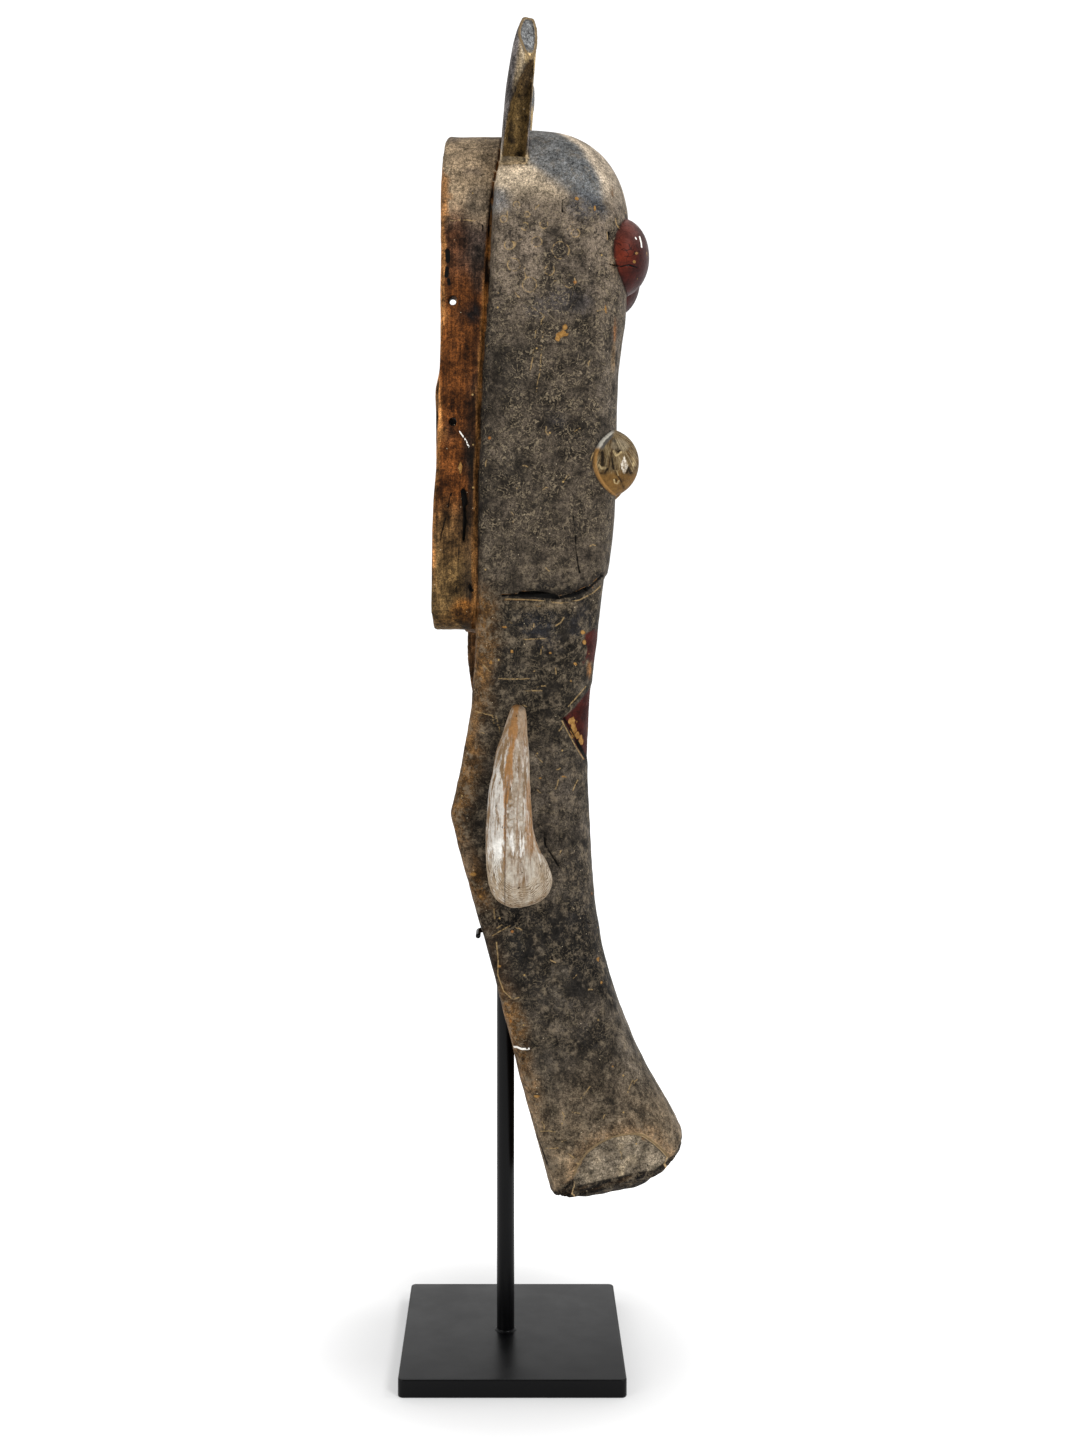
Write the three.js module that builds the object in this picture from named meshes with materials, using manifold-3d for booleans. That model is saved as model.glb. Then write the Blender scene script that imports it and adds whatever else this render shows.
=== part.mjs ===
// Carved elephant mask of the Guro people on its steel display stand.
// Millimetres, +Z up, the face looks along +X, -Y is the mask's right side.
// The origin is the middle of the plate's underside.

import * as THREE from 'three';
import { mergeVertices } from 'three/addons/utils/BufferGeometryUtils.js';
import Module from 'manifold-3d';

const wasm = await Module();
wasm.setup();

// Stand
const PLATE_SIDE = 160;
const PLATE_THICK = 12.7;
const PLATE_CORNER = 4;
const PLATE_BEVEL = 0.8;
const ROD_X = -5;
const ROD_RADIUS = 6.5;
const ROD_COLLAR = 1.6;
const ROD_CROWN = 2;
const FIT_GAP = 0.3;
const CRADLE_Z = 315.6;
const CRADLE_BAR_RADIUS = 1.9;
const CRADLE_INNER_Y = 18;
const CRADLE_BEND_Y = 31;
const CRADLE_END_Y = 48;
const CRADLE_CLEARANCE = 0.6;

// Head
const CROWN_Z = 900;
const CROWN_X = 22;
const DOME_Z = 825;
const DOME_REACH = 62.5;
const DOME_POWER = 2.2;
const SHOULDER_Z = 815;
const SHOULDER_POWER = 2.6;
const HEAD_HALF_WIDTH = 81;
const WIDEST_SHARE = 0.42;

// Rim behind the face, narrower than the face
const RIM_TOP_Z = 896;
const RIM_BOTTOM_Z = 534.5;
const RIM_MIDDLE_Z = 710;
const RIM_HALF_WIDTH = 72;
const RIM_WALL = 10;
const RIM_CHAMFER = 1.5;
const RIM_GAP_WIDTH = 3.5;
const RIM_GAP_DEPTH = 4;
const RIM_SKEW = 6;
const RIM_ARCH_POWER = 3.2;
const RIM_FOOT_POWER = 9;

// Hollow
const FACE_WALL = 14;
const CHANNEL_BOTTOM_Z = 224;
const CHANNEL_STRAIGHT_Z = 400;
const CHANNEL_BOTTOM_X = 3.6;
const CHANNEL_WALL = 11;
const CHANNEL_TAPER = 0.06;
const CHANNEL_SCALLOP = 1.5;

// Carving below the face
const JAW_SIDE_Z = 557.5;
const JAW_FRONT_RISE = 17;
const JAW_RISE_FROM_X = 40;
const JAW_RISE_TO_X = 72;
const JAW_HEIGHT = 32;
const JAW_DEPTH = 5;
const CHEVRON_Z = 471;
const CHEVRON_DEPTH = 3.5;
const FRONT_RECESS = 0.25;
const SKIN_CLEARANCE = 0.4;

// Balls set on the face, and the two between which each tusk's root swells
const BOSS = { centre: [77, -43, 802], radii: [21.5, 31.5, 28] };
const EYE = { centre: [66.2, -57.5, 653.5], radii: [23.8, 24, 24.4] };
const TUSK_ROOT = { centre: [13.8, -60, 357.4], radii: [14.2, 15, 15] };
const TUSK_FLARE = { centre: [3.6, -64, 384], radii: [12, 12, 12] };

// Flat on each side of the trunk's tip, inside an oval
const TIP_OVAL = { middle: [85, 137], half: [41, 36] };
const TIP_FLAT_PLACE = [84, -46.5, 172.8];
const TIP_FLAT_TURNS = [9.3, 0, 6.8];

// Ears
const EAR_TOP_Z = 966;
const EAR_FOOT_Z = 862;
const EAR_Y = -66;
const EAR_POWER = 3.6;
const SCOOP_POWER = 2.6;

// Points round a section, and the reach of tools that pass through the whole mask
const RING_POINTS = 36;
const RIM_POINTS = 36;
const HOLLOW_POINTS = 28;
const CHANNEL_POINTS = 24;
const EAR_POINTS = 16;
const SCOOP_POINTS = 12;
const BALL_SEGMENTS = [16, 10];
const SMALL_BALL_SEGMENTS = [10, 6];
const TUSK_RINGS = 14;
const TUSK_SIDES = 12;
const ROD_SIDES = 20;
const OVAL_SIDES = 26;
const MASK_REACH = 120;

// Side profile and sections, as [height, size] pairs from the trunk's tip to the crown
const frontEdge = profile([
  [90, 156], [150, 131], [175, 119.5], [210, 99.5], [245, 84.2], [280, 72.2], [315, 63.8], [350, 59.4],
  [400, 56.5], [440, 55.6], [480, 57.4], [525, 62], [560, 66.8], [585, 70.8], [630, 75.2], [690, 76.3],
  [715, 77.2], [740, 79.5], [760, 82.2], [DOME_Z, CROWN_X + DOME_REACH],
]);
const rearEdge = profile([
  [90, 37], [131, 26], [180, 13.2], [230, 0.2], [290, -14.9], [340, -28.8], [372, -38], [397, -44.2],
  [402, -45], [407, -44.2], [440, -36.8], [485, -29.5], [535, -26.3], [640, -24], [710, -21.3], [780, -16.4],
  [845, -13.2], [870, -9], [CROWN_Z, -5],
]);
const rimEdge = profile([
  [RIM_BOTTOM_Z, -55], [550, -56.8], [590, -56.6], [665, -52.4], [705, -50.8], [850, -49.8], [870, -48.8],
  [884, -47.4], [RIM_TOP_Z, -44.5],
]);
const sideWidth = profile([
  [90, 46], [150, 49], [220, 47], [300, 47.5], [380, 51], [440, 55], [500, 62], [560, 72], [600, 77],
  [660, HEAD_HALF_WIDTH], [SHOULDER_Z, HEAD_HALF_WIDTH - 1],
]);
const frontPower = profile([
  [90, 2.7], [200, 2.9], [300, 3.3], [500, 3.6], [600, 4.4], [800, 4.4], [860, 3], [CROWN_Z, 2.2],
]);
const rearPower = profile([[90, 4], [210, 6], [280, 12], [CROWN_Z, 12]]);
const farEdgeStep = profile([[474, 0], [528, 9], [545, 9], [590, 0]]);
const farRimLumps = profile([[676, 0], [690, 3], [697, 1.5], [706, 4], [714, 2], [724, 4], [738, 0]]);
const earCentre = profile([[EAR_FOOT_Z, 0.6], [910, 4.4], [944, 8.4], [EAR_TOP_Z, 11.3]]);
const earHalfX = profile([[EAR_FOOT_Z, 9.8], [910, 9.6], [944, 8.5], [958, 6.6], [EAR_TOP_Z, 3.2]]);
const earHalfY = profile([[EAR_FOOT_Z, 15], [910, 14.5], [950, 12], [EAR_TOP_Z, 7]]);

// Smooth curve without overshoot through [height, size] pairs, listed upwards
function profile(pairs) {
  const last = pairs.length - 1;
  const secant = [];
  for (let i = 0; i < last; i += 1) {
    secant.push((pairs[i + 1][1] - pairs[i][1]) / (pairs[i + 1][0] - pairs[i][0]));
  }
  const slope = pairs.map((pair, i) => {
    const before = secant[Math.max(i - 1, 0)];
    const after = secant[Math.min(i, last - 1)];
    return before * after <= 0 ? 0 : (2 * before * after) / (before + after);
  });
  return (height) => {
    const clamped = Math.min(Math.max(height, pairs[0][0]), pairs[last][0]);
    let i = 0;
    while (i < last - 1 && clamped > pairs[i + 1][0]) i += 1;
    const span = pairs[i + 1][0] - pairs[i][0];
    const t = (clamped - pairs[i][0]) / span;
    const rise = t * t * (3 - 2 * t);
    const bend = span * t * (1 - t) * ((1 - t) * slope[i] - t * slope[i + 1]);
    return pairs[i][1] + (pairs[i + 1][1] - pairs[i][1]) * rise + bend;
  };
}

// Front of the carving at a height, rounded over into the crown
function frontAt(z) {
  if (z <= DOME_Z) return frontEdge(z);
  const rise = Math.min((z - DOME_Z) / (CROWN_Z - DOME_Z), 1);
  return CROWN_X + DOME_REACH * (1 - rise ** DOME_POWER) ** (1 / DOME_POWER);
}

// Half the carving's width at a height, rounded over at the shoulders
function halfWidthAt(z) {
  if (z <= SHOULDER_Z) return sideWidth(z);
  const rise = Math.min((z - SHOULDER_Z) / (CROWN_Z - SHOULDER_Z), 1);
  return sideWidth(SHOULDER_Z) * (1 - rise ** SHOULDER_POWER) ** (1 / SHOULDER_POWER);
}

// One level of the head or trunk: rounded at the front, squarer behind
function carvingRing(z, insetAt, count) {
  const rear = rearEdge(z);
  const front = frontAt(z);
  const middle = rear + WIDEST_SHARE * (front - rear);
  const ring = [];
  for (let i = 0; i < count; i += 1) {
    const angle = (2 * Math.PI * i) / count;
    const forward = Math.cos(angle);
    const across = Math.sin(angle);
    const inset = insetAt(forward);
    const power = 2 / (forward >= 0 ? frontPower(z) : rearPower(z));
    const farStep = across > 0 ? farEdgeStep(z) : 0;
    const reach = forward >= 0 ? front - middle - inset : middle - rear + farStep;
    const x = middle + reach * Math.sign(forward) * Math.abs(forward) ** power;
    const y = (halfWidthAt(z) - inset) * Math.sign(across) * Math.abs(across) ** power;
    ring.push(new THREE.Vector3(x, y, z));
  }
  return ring;
}

// The rim's outline seen from behind: an arch with a square foot, drawn in by an inset
function archRing(xAt, inset, count) {
  const ring = [];
  for (let i = 0; i < count; i += 1) {
    const angle = (2 * Math.PI * (i + 0.5)) / count;
    const up = Math.sin(angle);
    const across = Math.cos(angle);
    const power = 2 / (up >= 0 ? RIM_ARCH_POWER : RIM_FOOT_POWER);
    const reach = (up >= 0 ? RIM_TOP_Z - RIM_MIDDLE_Z : RIM_MIDDLE_Z - RIM_BOTTOM_Z) - inset;
    const z = RIM_MIDDLE_Z + reach * Math.sign(up) * Math.abs(up) ** power;
    const y = (RIM_HALF_WIDTH - inset) * Math.sign(across) * Math.abs(across) ** power;
    ring.push(new THREE.Vector3(xAt(z, y), y, z));
  }
  return ring;
}

// A closed skin over rings that have the same number of points
function loftGeometry(rings) {
  const count = rings[0].length;
  const positions = [];
  const indices = [];
  for (const ring of rings) {
    for (const point of ring) positions.push(point.x, point.y, point.z);
  }
  for (let level = 0; level < rings.length - 1; level += 1) {
    for (let i = 0; i < count; i += 1) {
      const next = (i + 1) % count;
      const low = level * count;
      const high = low + count;
      indices.push(low + i, low + next, high + next);
      indices.push(low + i, high + next, high + i);
    }
  }
  for (const [level, flip] of [[0, true], [rings.length - 1, false]]) {
    const middle = new THREE.Vector3();
    for (const point of rings[level]) middle.addScaledVector(point, 1 / count);
    const hub = positions.length / 3;
    positions.push(middle.x, middle.y, middle.z);
    for (let i = 0; i < count; i += 1) {
      const a = level * count + i;
      const b = level * count + ((i + 1) % count);
      indices.push(hub, flip ? b : a, flip ? a : b);
    }
  }
  const geometry = new THREE.BufferGeometry();
  geometry.setAttribute('position', new THREE.Float32BufferAttribute(positions, 3));
  geometry.setIndex(indices);
  return geometry;
}

// The bare shape with one vertex per corner
function merged(geometry) {
  const bare = geometry.clone();
  bare.deleteAttribute('normal');
  bare.deleteAttribute('uv');
  return mergeVertices(bare, 1e-4);
}

function toSolid(geometry) {
  const shape = merged(geometry);
  return new wasm.Manifold(new wasm.Mesh({
    numProp: 3,
    vertProperties: new Float32Array(shape.attributes.position.array),
    triVerts: new Uint32Array(shape.index.array),
  }));
}

function toGeometry(solid) {
  const mesh = solid.getMesh();
  const geometry = new THREE.BufferGeometry();
  geometry.setAttribute('position', new THREE.BufferAttribute(mesh.vertProperties, 3));
  geometry.setIndex(new THREE.BufferAttribute(mesh.triVerts, 1));
  const facets = geometry.toNonIndexed();
  facets.computeVertexNormals();
  return facets;
}

function loft(rings) {
  return toSolid(loftGeometry(rings));
}

// The same solid on the other side of the mask
function mirrored(geometry) {
  const copy = geometry.clone();
  copy.scale(1, -1, 1);
  const index = copy.index.array;
  for (let i = 0; i < index.length; i += 3) {
    [index[i], index[i + 1]] = [index[i + 1], index[i]];
  }
  return copy;
}

function bothSides(geometry) {
  return toSolid(geometry).add(toSolid(mirrored(geometry)));
}

// Heights between two levels, at an even step
function levels(from, to, step) {
  const count = Math.max(1, Math.round((to - from) / step));
  return Array.from({ length: count + 1 }, (_, i) => from + ((to - from) * i) / count);
}

// Head and trunk before any hollowing
function carvedBlock() {
  const heights = [...levels(96, SHOULDER_Z, 23)];
  for (let i = 1; i <= 8; i += 1) {
    heights.push(SHOULDER_Z + (CROWN_Z - SHOULDER_Z) * Math.sin((i / 8.25) * (Math.PI / 2)));
  }
  return loft(heights.map((z) => carvingRing(z, () => 0, RING_POINTS)));
}

function smoothStep(from, to, value) {
  const t = Math.min(Math.max((value - from) / (to - from), 0), 1);
  return t * t * (3 - 2 * t);
}

// Cuts a recess inside a region, down to a skin set in by a depth that varies round the carving
function withRecess(block, region, from, to, depthAt) {
  const skin = loft(levels(from, to, 9).map((z) => (
    carvingRing(z, (forward) => depthAt(z, forward) - SKIN_CLEARANCE, RING_POINTS))));
  return block.subtract(region.subtract(skin));
}

// Share of a recess's depth left where the surface turns from the side to the front
function shallowerInFront(forward) {
  return 1 - (1 - FRONT_RECESS) * smoothStep(0.55, 0.9, forward);
}

// A flat outline in X and Z, drawn out across the whole mask
function acrossMask(outline) {
  const shape = new THREE.Shape(outline.map(([x, z]) => new THREE.Vector2(x, z)));
  const geometry = new THREE.ExtrudeGeometry(shape, { depth: 2 * MASK_REACH, bevelEnabled: false });
  geometry.rotateX(Math.PI / 2);
  geometry.translate(0, MASK_REACH, 0);
  return toSolid(geometry);
}

// The face ends in an overhanging jaw line that rises towards the front and fades behind
function withJawLine(block) {
  const line = (x) => JAW_SIDE_Z + JAW_FRONT_RISE * smoothStep(JAW_RISE_FROM_X, JAW_RISE_TO_X, x);
  const upper = [90, 72, 66, 60, 54, 48, 40, -60].map((x) => [x, line(x)]);
  const low = JAW_SIDE_Z - JAW_HEIGHT;
  const region = acrossMask([[-60, low], [90, low], ...upper]);
  const depthAt = (z, forward) => {
    const rise = Math.max(0, (z - low) / JAW_HEIGHT);
    return JAW_DEPTH * rise * smoothStep(-0.5, 0.1, forward) * shallowerInFront(forward);
  };
  return withRecess(block, region, low - 5, JAW_SIDE_Z + JAW_FRONT_RISE + 8, depthAt);
}

// A diamond is let into the front of the trunk, and its corners reach the sides
function withChevron(block) {
  const region = acrossMask([[36, CHEVRON_Z], [70, CHEVRON_Z - 58], [90, CHEVRON_Z - 58],
    [90, CHEVRON_Z + 32], [66, CHEVRON_Z + 32]]);
  const depthAt = (z, forward) => CHEVRON_DEPTH * shallowerInFront(forward);
  return withRecess(block, region, CHEVRON_Z - 64, CHEVRON_Z + 42, depthAt);
}

// Rear edge of the rim: the far side reaches further back and is lumpy near its middle
function rimRear(z, y) {
  const far = 0.5 + (0.5 * y) / RIM_HALF_WIDTH;
  return rimEdge(z) - RIM_SKEW * far - (y > 0 ? farRimLumps(z) : 0);
}

// Attachment rim, set in behind the face with a narrow dark gap
function rim() {
  const behind = (distance) => (z) => rearEdge(z) - distance;
  return loft([
    archRing(rimRear, RIM_CHAMFER, RIM_POINTS),
    archRing((z, y) => rimRear(z, y) + RIM_CHAMFER, 0, RIM_POINTS),
    archRing(behind(RIM_GAP_WIDTH), 0, RIM_POINTS),
    archRing(behind(RIM_GAP_WIDTH), RIM_GAP_DEPTH, RIM_POINTS),
    archRing(behind(-8), RIM_GAP_DEPTH, RIM_POINTS),
  ]);
}

// Hollow for the wearer's face, open to the rear
function faceHollow() {
  const wallFrom = (depth) => (z) => frontAt(Math.min(z, CROWN_Z - 16)) - FACE_WALL - depth;
  return loft([
    archRing((z, y) => rimRear(z, y) - 10, RIM_WALL, HOLLOW_POINTS),
    archRing((z) => rearEdge(z) - 6, RIM_WALL, HOLLOW_POINTS),
    archRing(() => 10, 8, HOLLOW_POINTS),
    archRing(wallFrom(32), 10, HOLLOW_POINTS),
    archRing(wallFrom(14), 16, HOLLOW_POINTS),
    archRing(wallFrom(4), 26, HOLLOW_POINTS),
    archRing(wallFrom(0), 42, HOLLOW_POINTS),
  ]);
}

// How far forward the trunk's hollow reaches: it runs out straight towards the tip
function channelFront(z) {
  if (z >= CHANNEL_STRAIGHT_Z) return frontAt(z) - FACE_WALL - CHANNEL_SCALLOP;
  const t = (z - CHANNEL_BOTTOM_Z) / (CHANNEL_STRAIGHT_Z - CHANNEL_BOTTOM_Z);
  const top = frontAt(CHANNEL_STRAIGHT_Z) - FACE_WALL - CHANNEL_SCALLOP;
  return CHANNEL_BOTTOM_X + (top - CHANNEL_BOTTOM_X) * t;
}

function channelRing(z, rear) {
  const front = channelFront(z);
  const middle = (front + rear) / 2;
  const halfWidth = halfWidthAt(z) - CHANNEL_WALL - CHANNEL_TAPER * Math.max(0, CHANNEL_STRAIGHT_Z - z);
  const ring = [];
  for (let i = 0; i < CHANNEL_POINTS; i += 1) {
    const angle = (2 * Math.PI * (i + 0.5)) / CHANNEL_POINTS;
    const forward = Math.cos(angle);
    const across = Math.sin(angle);
    const power = 2 / (forward >= 0 ? 3 : 8);
    const x = middle + (front - middle) * Math.sign(forward) * Math.abs(forward) ** power;
    ring.push(new THREE.Vector3(x, halfWidth * Math.sign(across) * Math.abs(across) ** power, z));
  }
  return ring;
}

// Hollow down the back of the trunk, joined to the face's hollow in front of the chin bar
function trunkHollow() {
  const open = levels(CHANNEL_BOTTOM_Z - 12, RIM_BOTTOM_Z - 2, 30).map((z) => channelRing(z, -70));
  const passage = levels(RIM_BOTTOM_Z - 16, RIM_BOTTOM_Z + 44, 30).map((z) => channelRing(z, -22));
  return loft(open).add(loft(passage));
}

// What lies below the trunk's slanted end, which curls up towards its side edges
function endCutter() {
  const bottom = profile([[10, 130], [30, 123.2], [50, 119.4], [69, 121.6], [96, 129], [107, 136.4],
    [115, 147.2], [125, 161], [138, 190], [180, 260]]);
  const edgeRise = profile([[20, 6], [60, 20], [90, 25.5], [105, 21], [120, 10], [180, 10]]);
  const edgeHalfWidth = 45;
  const stops = [0, 20, 30, 42, 54, 66, 78, 90, 100, 110, 116, 121, 126, 132, 150, 180];
  const across = [-75, -54, -47, -41, -34, -22, 22, 34, 41, 47, 54, 75];
  return loft(stops.map((x) => {
    const ring = across.map((y) => {
      const side = Math.min(Math.abs(y) / edgeHalfWidth, 1.2);
      return new THREE.Vector3(x, y, bottom(x) + edgeRise(x) * side ** 5);
    });
    ring.push(new THREE.Vector3(x, 75, 40), new THREE.Vector3(x, -75, 40));
    return ring.reverse();
  }));
}

// A box that starts at the origin, turned about X, Y and Z in degrees and moved to a place
function turnedSlab(size, start, turns, place) {
  const slab = merged(new THREE.BoxGeometry(...size));
  slab.translate(...start);
  const [aboutX, aboutY, aboutZ] = turns.map(THREE.MathUtils.degToRad);
  slab.rotateX(aboutX);
  slab.rotateY(aboutY);
  slab.rotateZ(aboutZ);
  slab.translate(...place);
  return slab;
}

// Flat pared off each side of the trunk's tip, inside an oval outline
function tipFacets() {
  const slab = toSolid(turnedSlab([150, 40, 100], [0, -20, -5], TIP_FLAT_TURNS, TIP_FLAT_PLACE));
  const oval = new THREE.CylinderGeometry(1, 1, MASK_REACH, OVAL_SIDES);
  oval.scale(TIP_OVAL.half[0], 1, TIP_OVAL.half[1]);
  oval.translate(TIP_OVAL.middle[0], -MASK_REACH / 2, TIP_OVAL.middle[1]);
  const flat = slab.intersect(toSolid(oval));
  return flat.add(flat.mirror([0, 1, 0]));
}

function ballGeometry({ centre, radii }, segments) {
  const ball = merged(new THREE.SphereGeometry(1, ...segments));
  ball.scale(...radii);
  ball.translate(...centre);
  return ball;
}

// The same stretched ball on both sides of the mask
function ballPair(shape) {
  return bothSides(ballGeometry(shape, BALL_SEGMENTS));
}

// Straight skin stretched round two balls
function skinRound(first, second, segments) {
  return wasm.Manifold.hull([first, second].map((shape) => toSolid(ballGeometry(shape, segments))));
}

// Horn swept along a smooth path, with its radius given along the way
function hornGeometry(path, radii, steps, sides) {
  const curve = new THREE.CatmullRomCurve3(path.map((point) => new THREE.Vector3(...point)));
  const radiusAt = profile(radii);
  const aside = new THREE.Vector3(0, 1, 0);
  const rings = [];
  for (let i = 0; i <= steps; i += 1) {
    const t = i / steps;
    const along = curve.getTangent(t);
    const first = new THREE.Vector3().crossVectors(aside, along).normalize();
    const second = new THREE.Vector3().crossVectors(along, first);
    const centre = curve.getPoint(t);
    const radius = radiusAt(t);
    rings.push(Array.from({ length: sides }, (_, j) => {
      const angle = (2 * Math.PI * j) / sides;
      return centre.clone()
        .addScaledVector(first, radius * Math.cos(angle))
        .addScaledVector(second, radius * Math.sin(angle));
    }));
  }
  return loftGeometry(rings);
}

// Tusk that leaves the side of the trunk and turns up
function tusks() {
  const path = [[15, -36, 368], [11, -52, 361], [2, -61, 356.5], [-1.4, -65, 372], [-2.4, -67.5, 395],
    [-2, -69, 420], [0, -69, 446], [2.2, -68, 463], [4.4, -66.5, 482.5]];
  const radii = [[0, 12], [0.1, 14], [0.25, 18.8], [0.36, 18], [0.5, 16.8], [0.62, 14.8], [0.78, 11.4],
    [0.88, 8.6], [0.95, 6.6], [0.985, 5], [1, 2.8]];
  const root = skinRound(TUSK_ROOT, TUSK_FLARE, BALL_SEGMENTS);
  return bothSides(hornGeometry(path, radii, TUSK_RINGS, TUSK_SIDES)).add(root).add(root.mirror([0, 1, 0]));
}

function ovalRing(centre, halfX, halfY, power, count) {
  return Array.from({ length: count }, (_, i) => {
    const angle = (2 * Math.PI * (i + 0.5)) / count;
    const x = halfX * Math.sign(Math.cos(angle)) * Math.abs(Math.cos(angle)) ** (2 / power);
    const y = halfY * Math.sign(Math.sin(angle)) * Math.abs(Math.sin(angle)) ** (2 / power);
    return new THREE.Vector3(centre.x + x, centre.y + y, centre.z);
  });
}

// Upright ear at the shoulder
function ears() {
  const rings = [EAR_FOOT_Z, 880, 900, 922, 944, 956, 964, EAR_TOP_Z].map((z) => {
    const centre = new THREE.Vector3(earCentre(z), EAR_Y, z);
    return ovalRing(centre, earHalfX(z), earHalfY(z), EAR_POWER, EAR_POINTS);
  });
  return bothSides(loftGeometry(rings));
}

// The ear's scoop, open outwards, and the flat pared off its top
function earCuts() {
  const scoop = [
    [866, 1.2, 7.8, 15], [890, 4, 7.2, 14], [912, 8, 5.6, 12], [926, 12, 3.2, 9], [934, 14.5, 1, 6],
  ];
  const rings = scoop.map(([z, x, halfX, depth]) => {
    const centre = new THREE.Vector3(x, EAR_Y - earHalfY(z) - 1, z);
    return ovalRing(centre, halfX, depth, SCOOP_POWER, SCOOP_POINTS);
  });
  const slab = turnedSlab([60, 40, 80], [0, -20, 40], [-16, 0, 30], [15, EAR_Y - 11.5, 934]);
  return bothSides(loftGeometry(rings)).add(bothSides(slab));
}

// Holes for the costume's ties through the rim
function tieHoles() {
  const places = [[-42, -1, 767], [-42, -1, 681.5], [-46.6, 1, 789.5], [-44, 1, 706]];
  return places.map(([x, side, z]) => {
    const hole = new THREE.CylinderGeometry(2.9, 2.9, 30, 8);
    hole.translate(x, side * RIM_HALF_WIDTH, z);
    return toSolid(hole);
  });
}

// The largest body of a solid, without the crumbs left where the tusks bend tightly
function largestBody(solid) {
  return solid.decompose().reduce((best, body) => (body.volume() > best.volume() ? body : best));
}

function maskSolid() {
  let solid = carvedBlock();
  solid = withJawLine(solid);
  solid = withChevron(solid);
  solid = solid.subtract(tipFacets()).subtract(endCutter());
  solid = solid.add(rim()).add(ballPair(BOSS)).add(ballPair(EYE)).add(tusks()).add(ears());
  solid = solid.subtract(earCuts()).subtract(faceHollow()).subtract(trunkHollow());
  for (const hole of tieHoles()) solid = solid.subtract(hole);
  return largestBody(solid);
}

function plateGeometry() {
  const half = PLATE_SIDE / 2 - PLATE_BEVEL;
  const corner = PLATE_CORNER - PLATE_BEVEL;
  const outline = new THREE.Shape();
  outline.absarc(half - corner, half - corner, corner, 0, Math.PI / 2);
  outline.absarc(corner - half, half - corner, corner, Math.PI / 2, Math.PI);
  outline.absarc(corner - half, corner - half, corner, Math.PI, 1.5 * Math.PI);
  outline.absarc(half - corner, corner - half, corner, 1.5 * Math.PI, 2 * Math.PI);
  const geometry = new THREE.ExtrudeGeometry(outline, {
    depth: PLATE_THICK - 2 * PLATE_BEVEL, curveSegments: 4,
    bevelThickness: PLATE_BEVEL, bevelSize: PLATE_BEVEL, bevelSegments: 1,
  });
  geometry.translate(0, 0, PLATE_BEVEL);
  return geometry;
}

// Height of the hollow's ceiling over the rod
function ceilingAbove(solid) {
  const reach = CROWN_Z - RIM_MIDDLE_Z;
  const probe = new THREE.CylinderGeometry(ROD_RADIUS, ROD_RADIUS, reach, 24);
  probe.rotateX(Math.PI / 2);
  probe.translate(ROD_X, 0, CROWN_Z - reach / 2);
  return toSolid(probe).intersect(solid).boundingBox().min[2];
}

function rodGeometry(top) {
  const foot = PLATE_THICK + FIT_GAP;
  const half = ROD_COLLAR / 2;
  const edge = ROD_CROWN / 3;
  const points = [
    [0, foot],
    [ROD_RADIUS + ROD_COLLAR, foot],
    [ROD_RADIUS + 0.6 * half, foot + half],
    [ROD_RADIUS, foot + ROD_COLLAR],
    [ROD_RADIUS, top - ROD_CROWN],
    [ROD_RADIUS - edge, top - edge],
    [ROD_RADIUS - ROD_CROWN, top],
    [0, top],
  ];
  const geometry = new THREE.LatheGeometry(points.map(([r, z]) => new THREE.Vector2(r, z)), ROD_SIDES);
  geometry.rotateX(Math.PI / 2);
  geometry.translate(ROD_X, 0, 0);
  return geometry;
}

// Prong behind the rod that bends back round the hollow's edges and holds the trunk's rear
function cradleSolid() {
  const innerX = ROD_X - ROD_RADIUS - FIT_GAP - CRADLE_BAR_RADIUS;
  const outerX = rearEdge(CRADLE_Z) - CRADLE_BAR_RADIUS - CRADLE_CLEARANCE;
  const places = [
    [outerX, -CRADLE_END_Y], [outerX, -CRADLE_BEND_Y], [innerX, -CRADLE_INNER_Y],
    [innerX, CRADLE_INNER_Y], [outerX, CRADLE_BEND_Y], [outerX, CRADLE_END_Y],
  ];
  const radii = [CRADLE_BAR_RADIUS, CRADLE_BAR_RADIUS, CRADLE_BAR_RADIUS];
  const bends = places.map(([x, y]) => ({ centre: [x, y, CRADLE_Z], radii }));
  const lengths = bends.slice(1).map((bend, i) => skinRound(bends[i], bend, SMALL_BALL_SEGMENTS));
  return wasm.Manifold.union(lengths);
}

function namedMesh(name, geometry, color, roughness, metalness) {
  const mesh = new THREE.Mesh(geometry, new THREE.MeshStandardMaterial({ color, roughness, metalness }));
  mesh.name = name;
  return mesh;
}

const carving = maskSolid();
const rodTop = ceilingAbove(carving) - FIT_GAP;
const object = new THREE.Group();
object.add(
  namedMesh('mask', toGeometry(carving), 0x4b463e, 0.75, 0),
  namedMesh('base_plate', plateGeometry(), 0x1a1a1c, 0.42, 0.2),
  namedMesh('rod', rodGeometry(rodTop), 0x1c1c20, 0.4, 0.2),
  namedMesh('cradle', toGeometry(cradleSolid()), 0x1a1a1c, 0.45, 0.2),
);

export default object;
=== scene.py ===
"""Carved elephant mask of the Guro people on its steel stand, dressed round its solid frame.

Shapes are worked out in millimetres and turned into metres when a mesh is made.
+Z is up, the face looks along +X, and -Y is the near side, the mask's own right.
"""

import math

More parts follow.
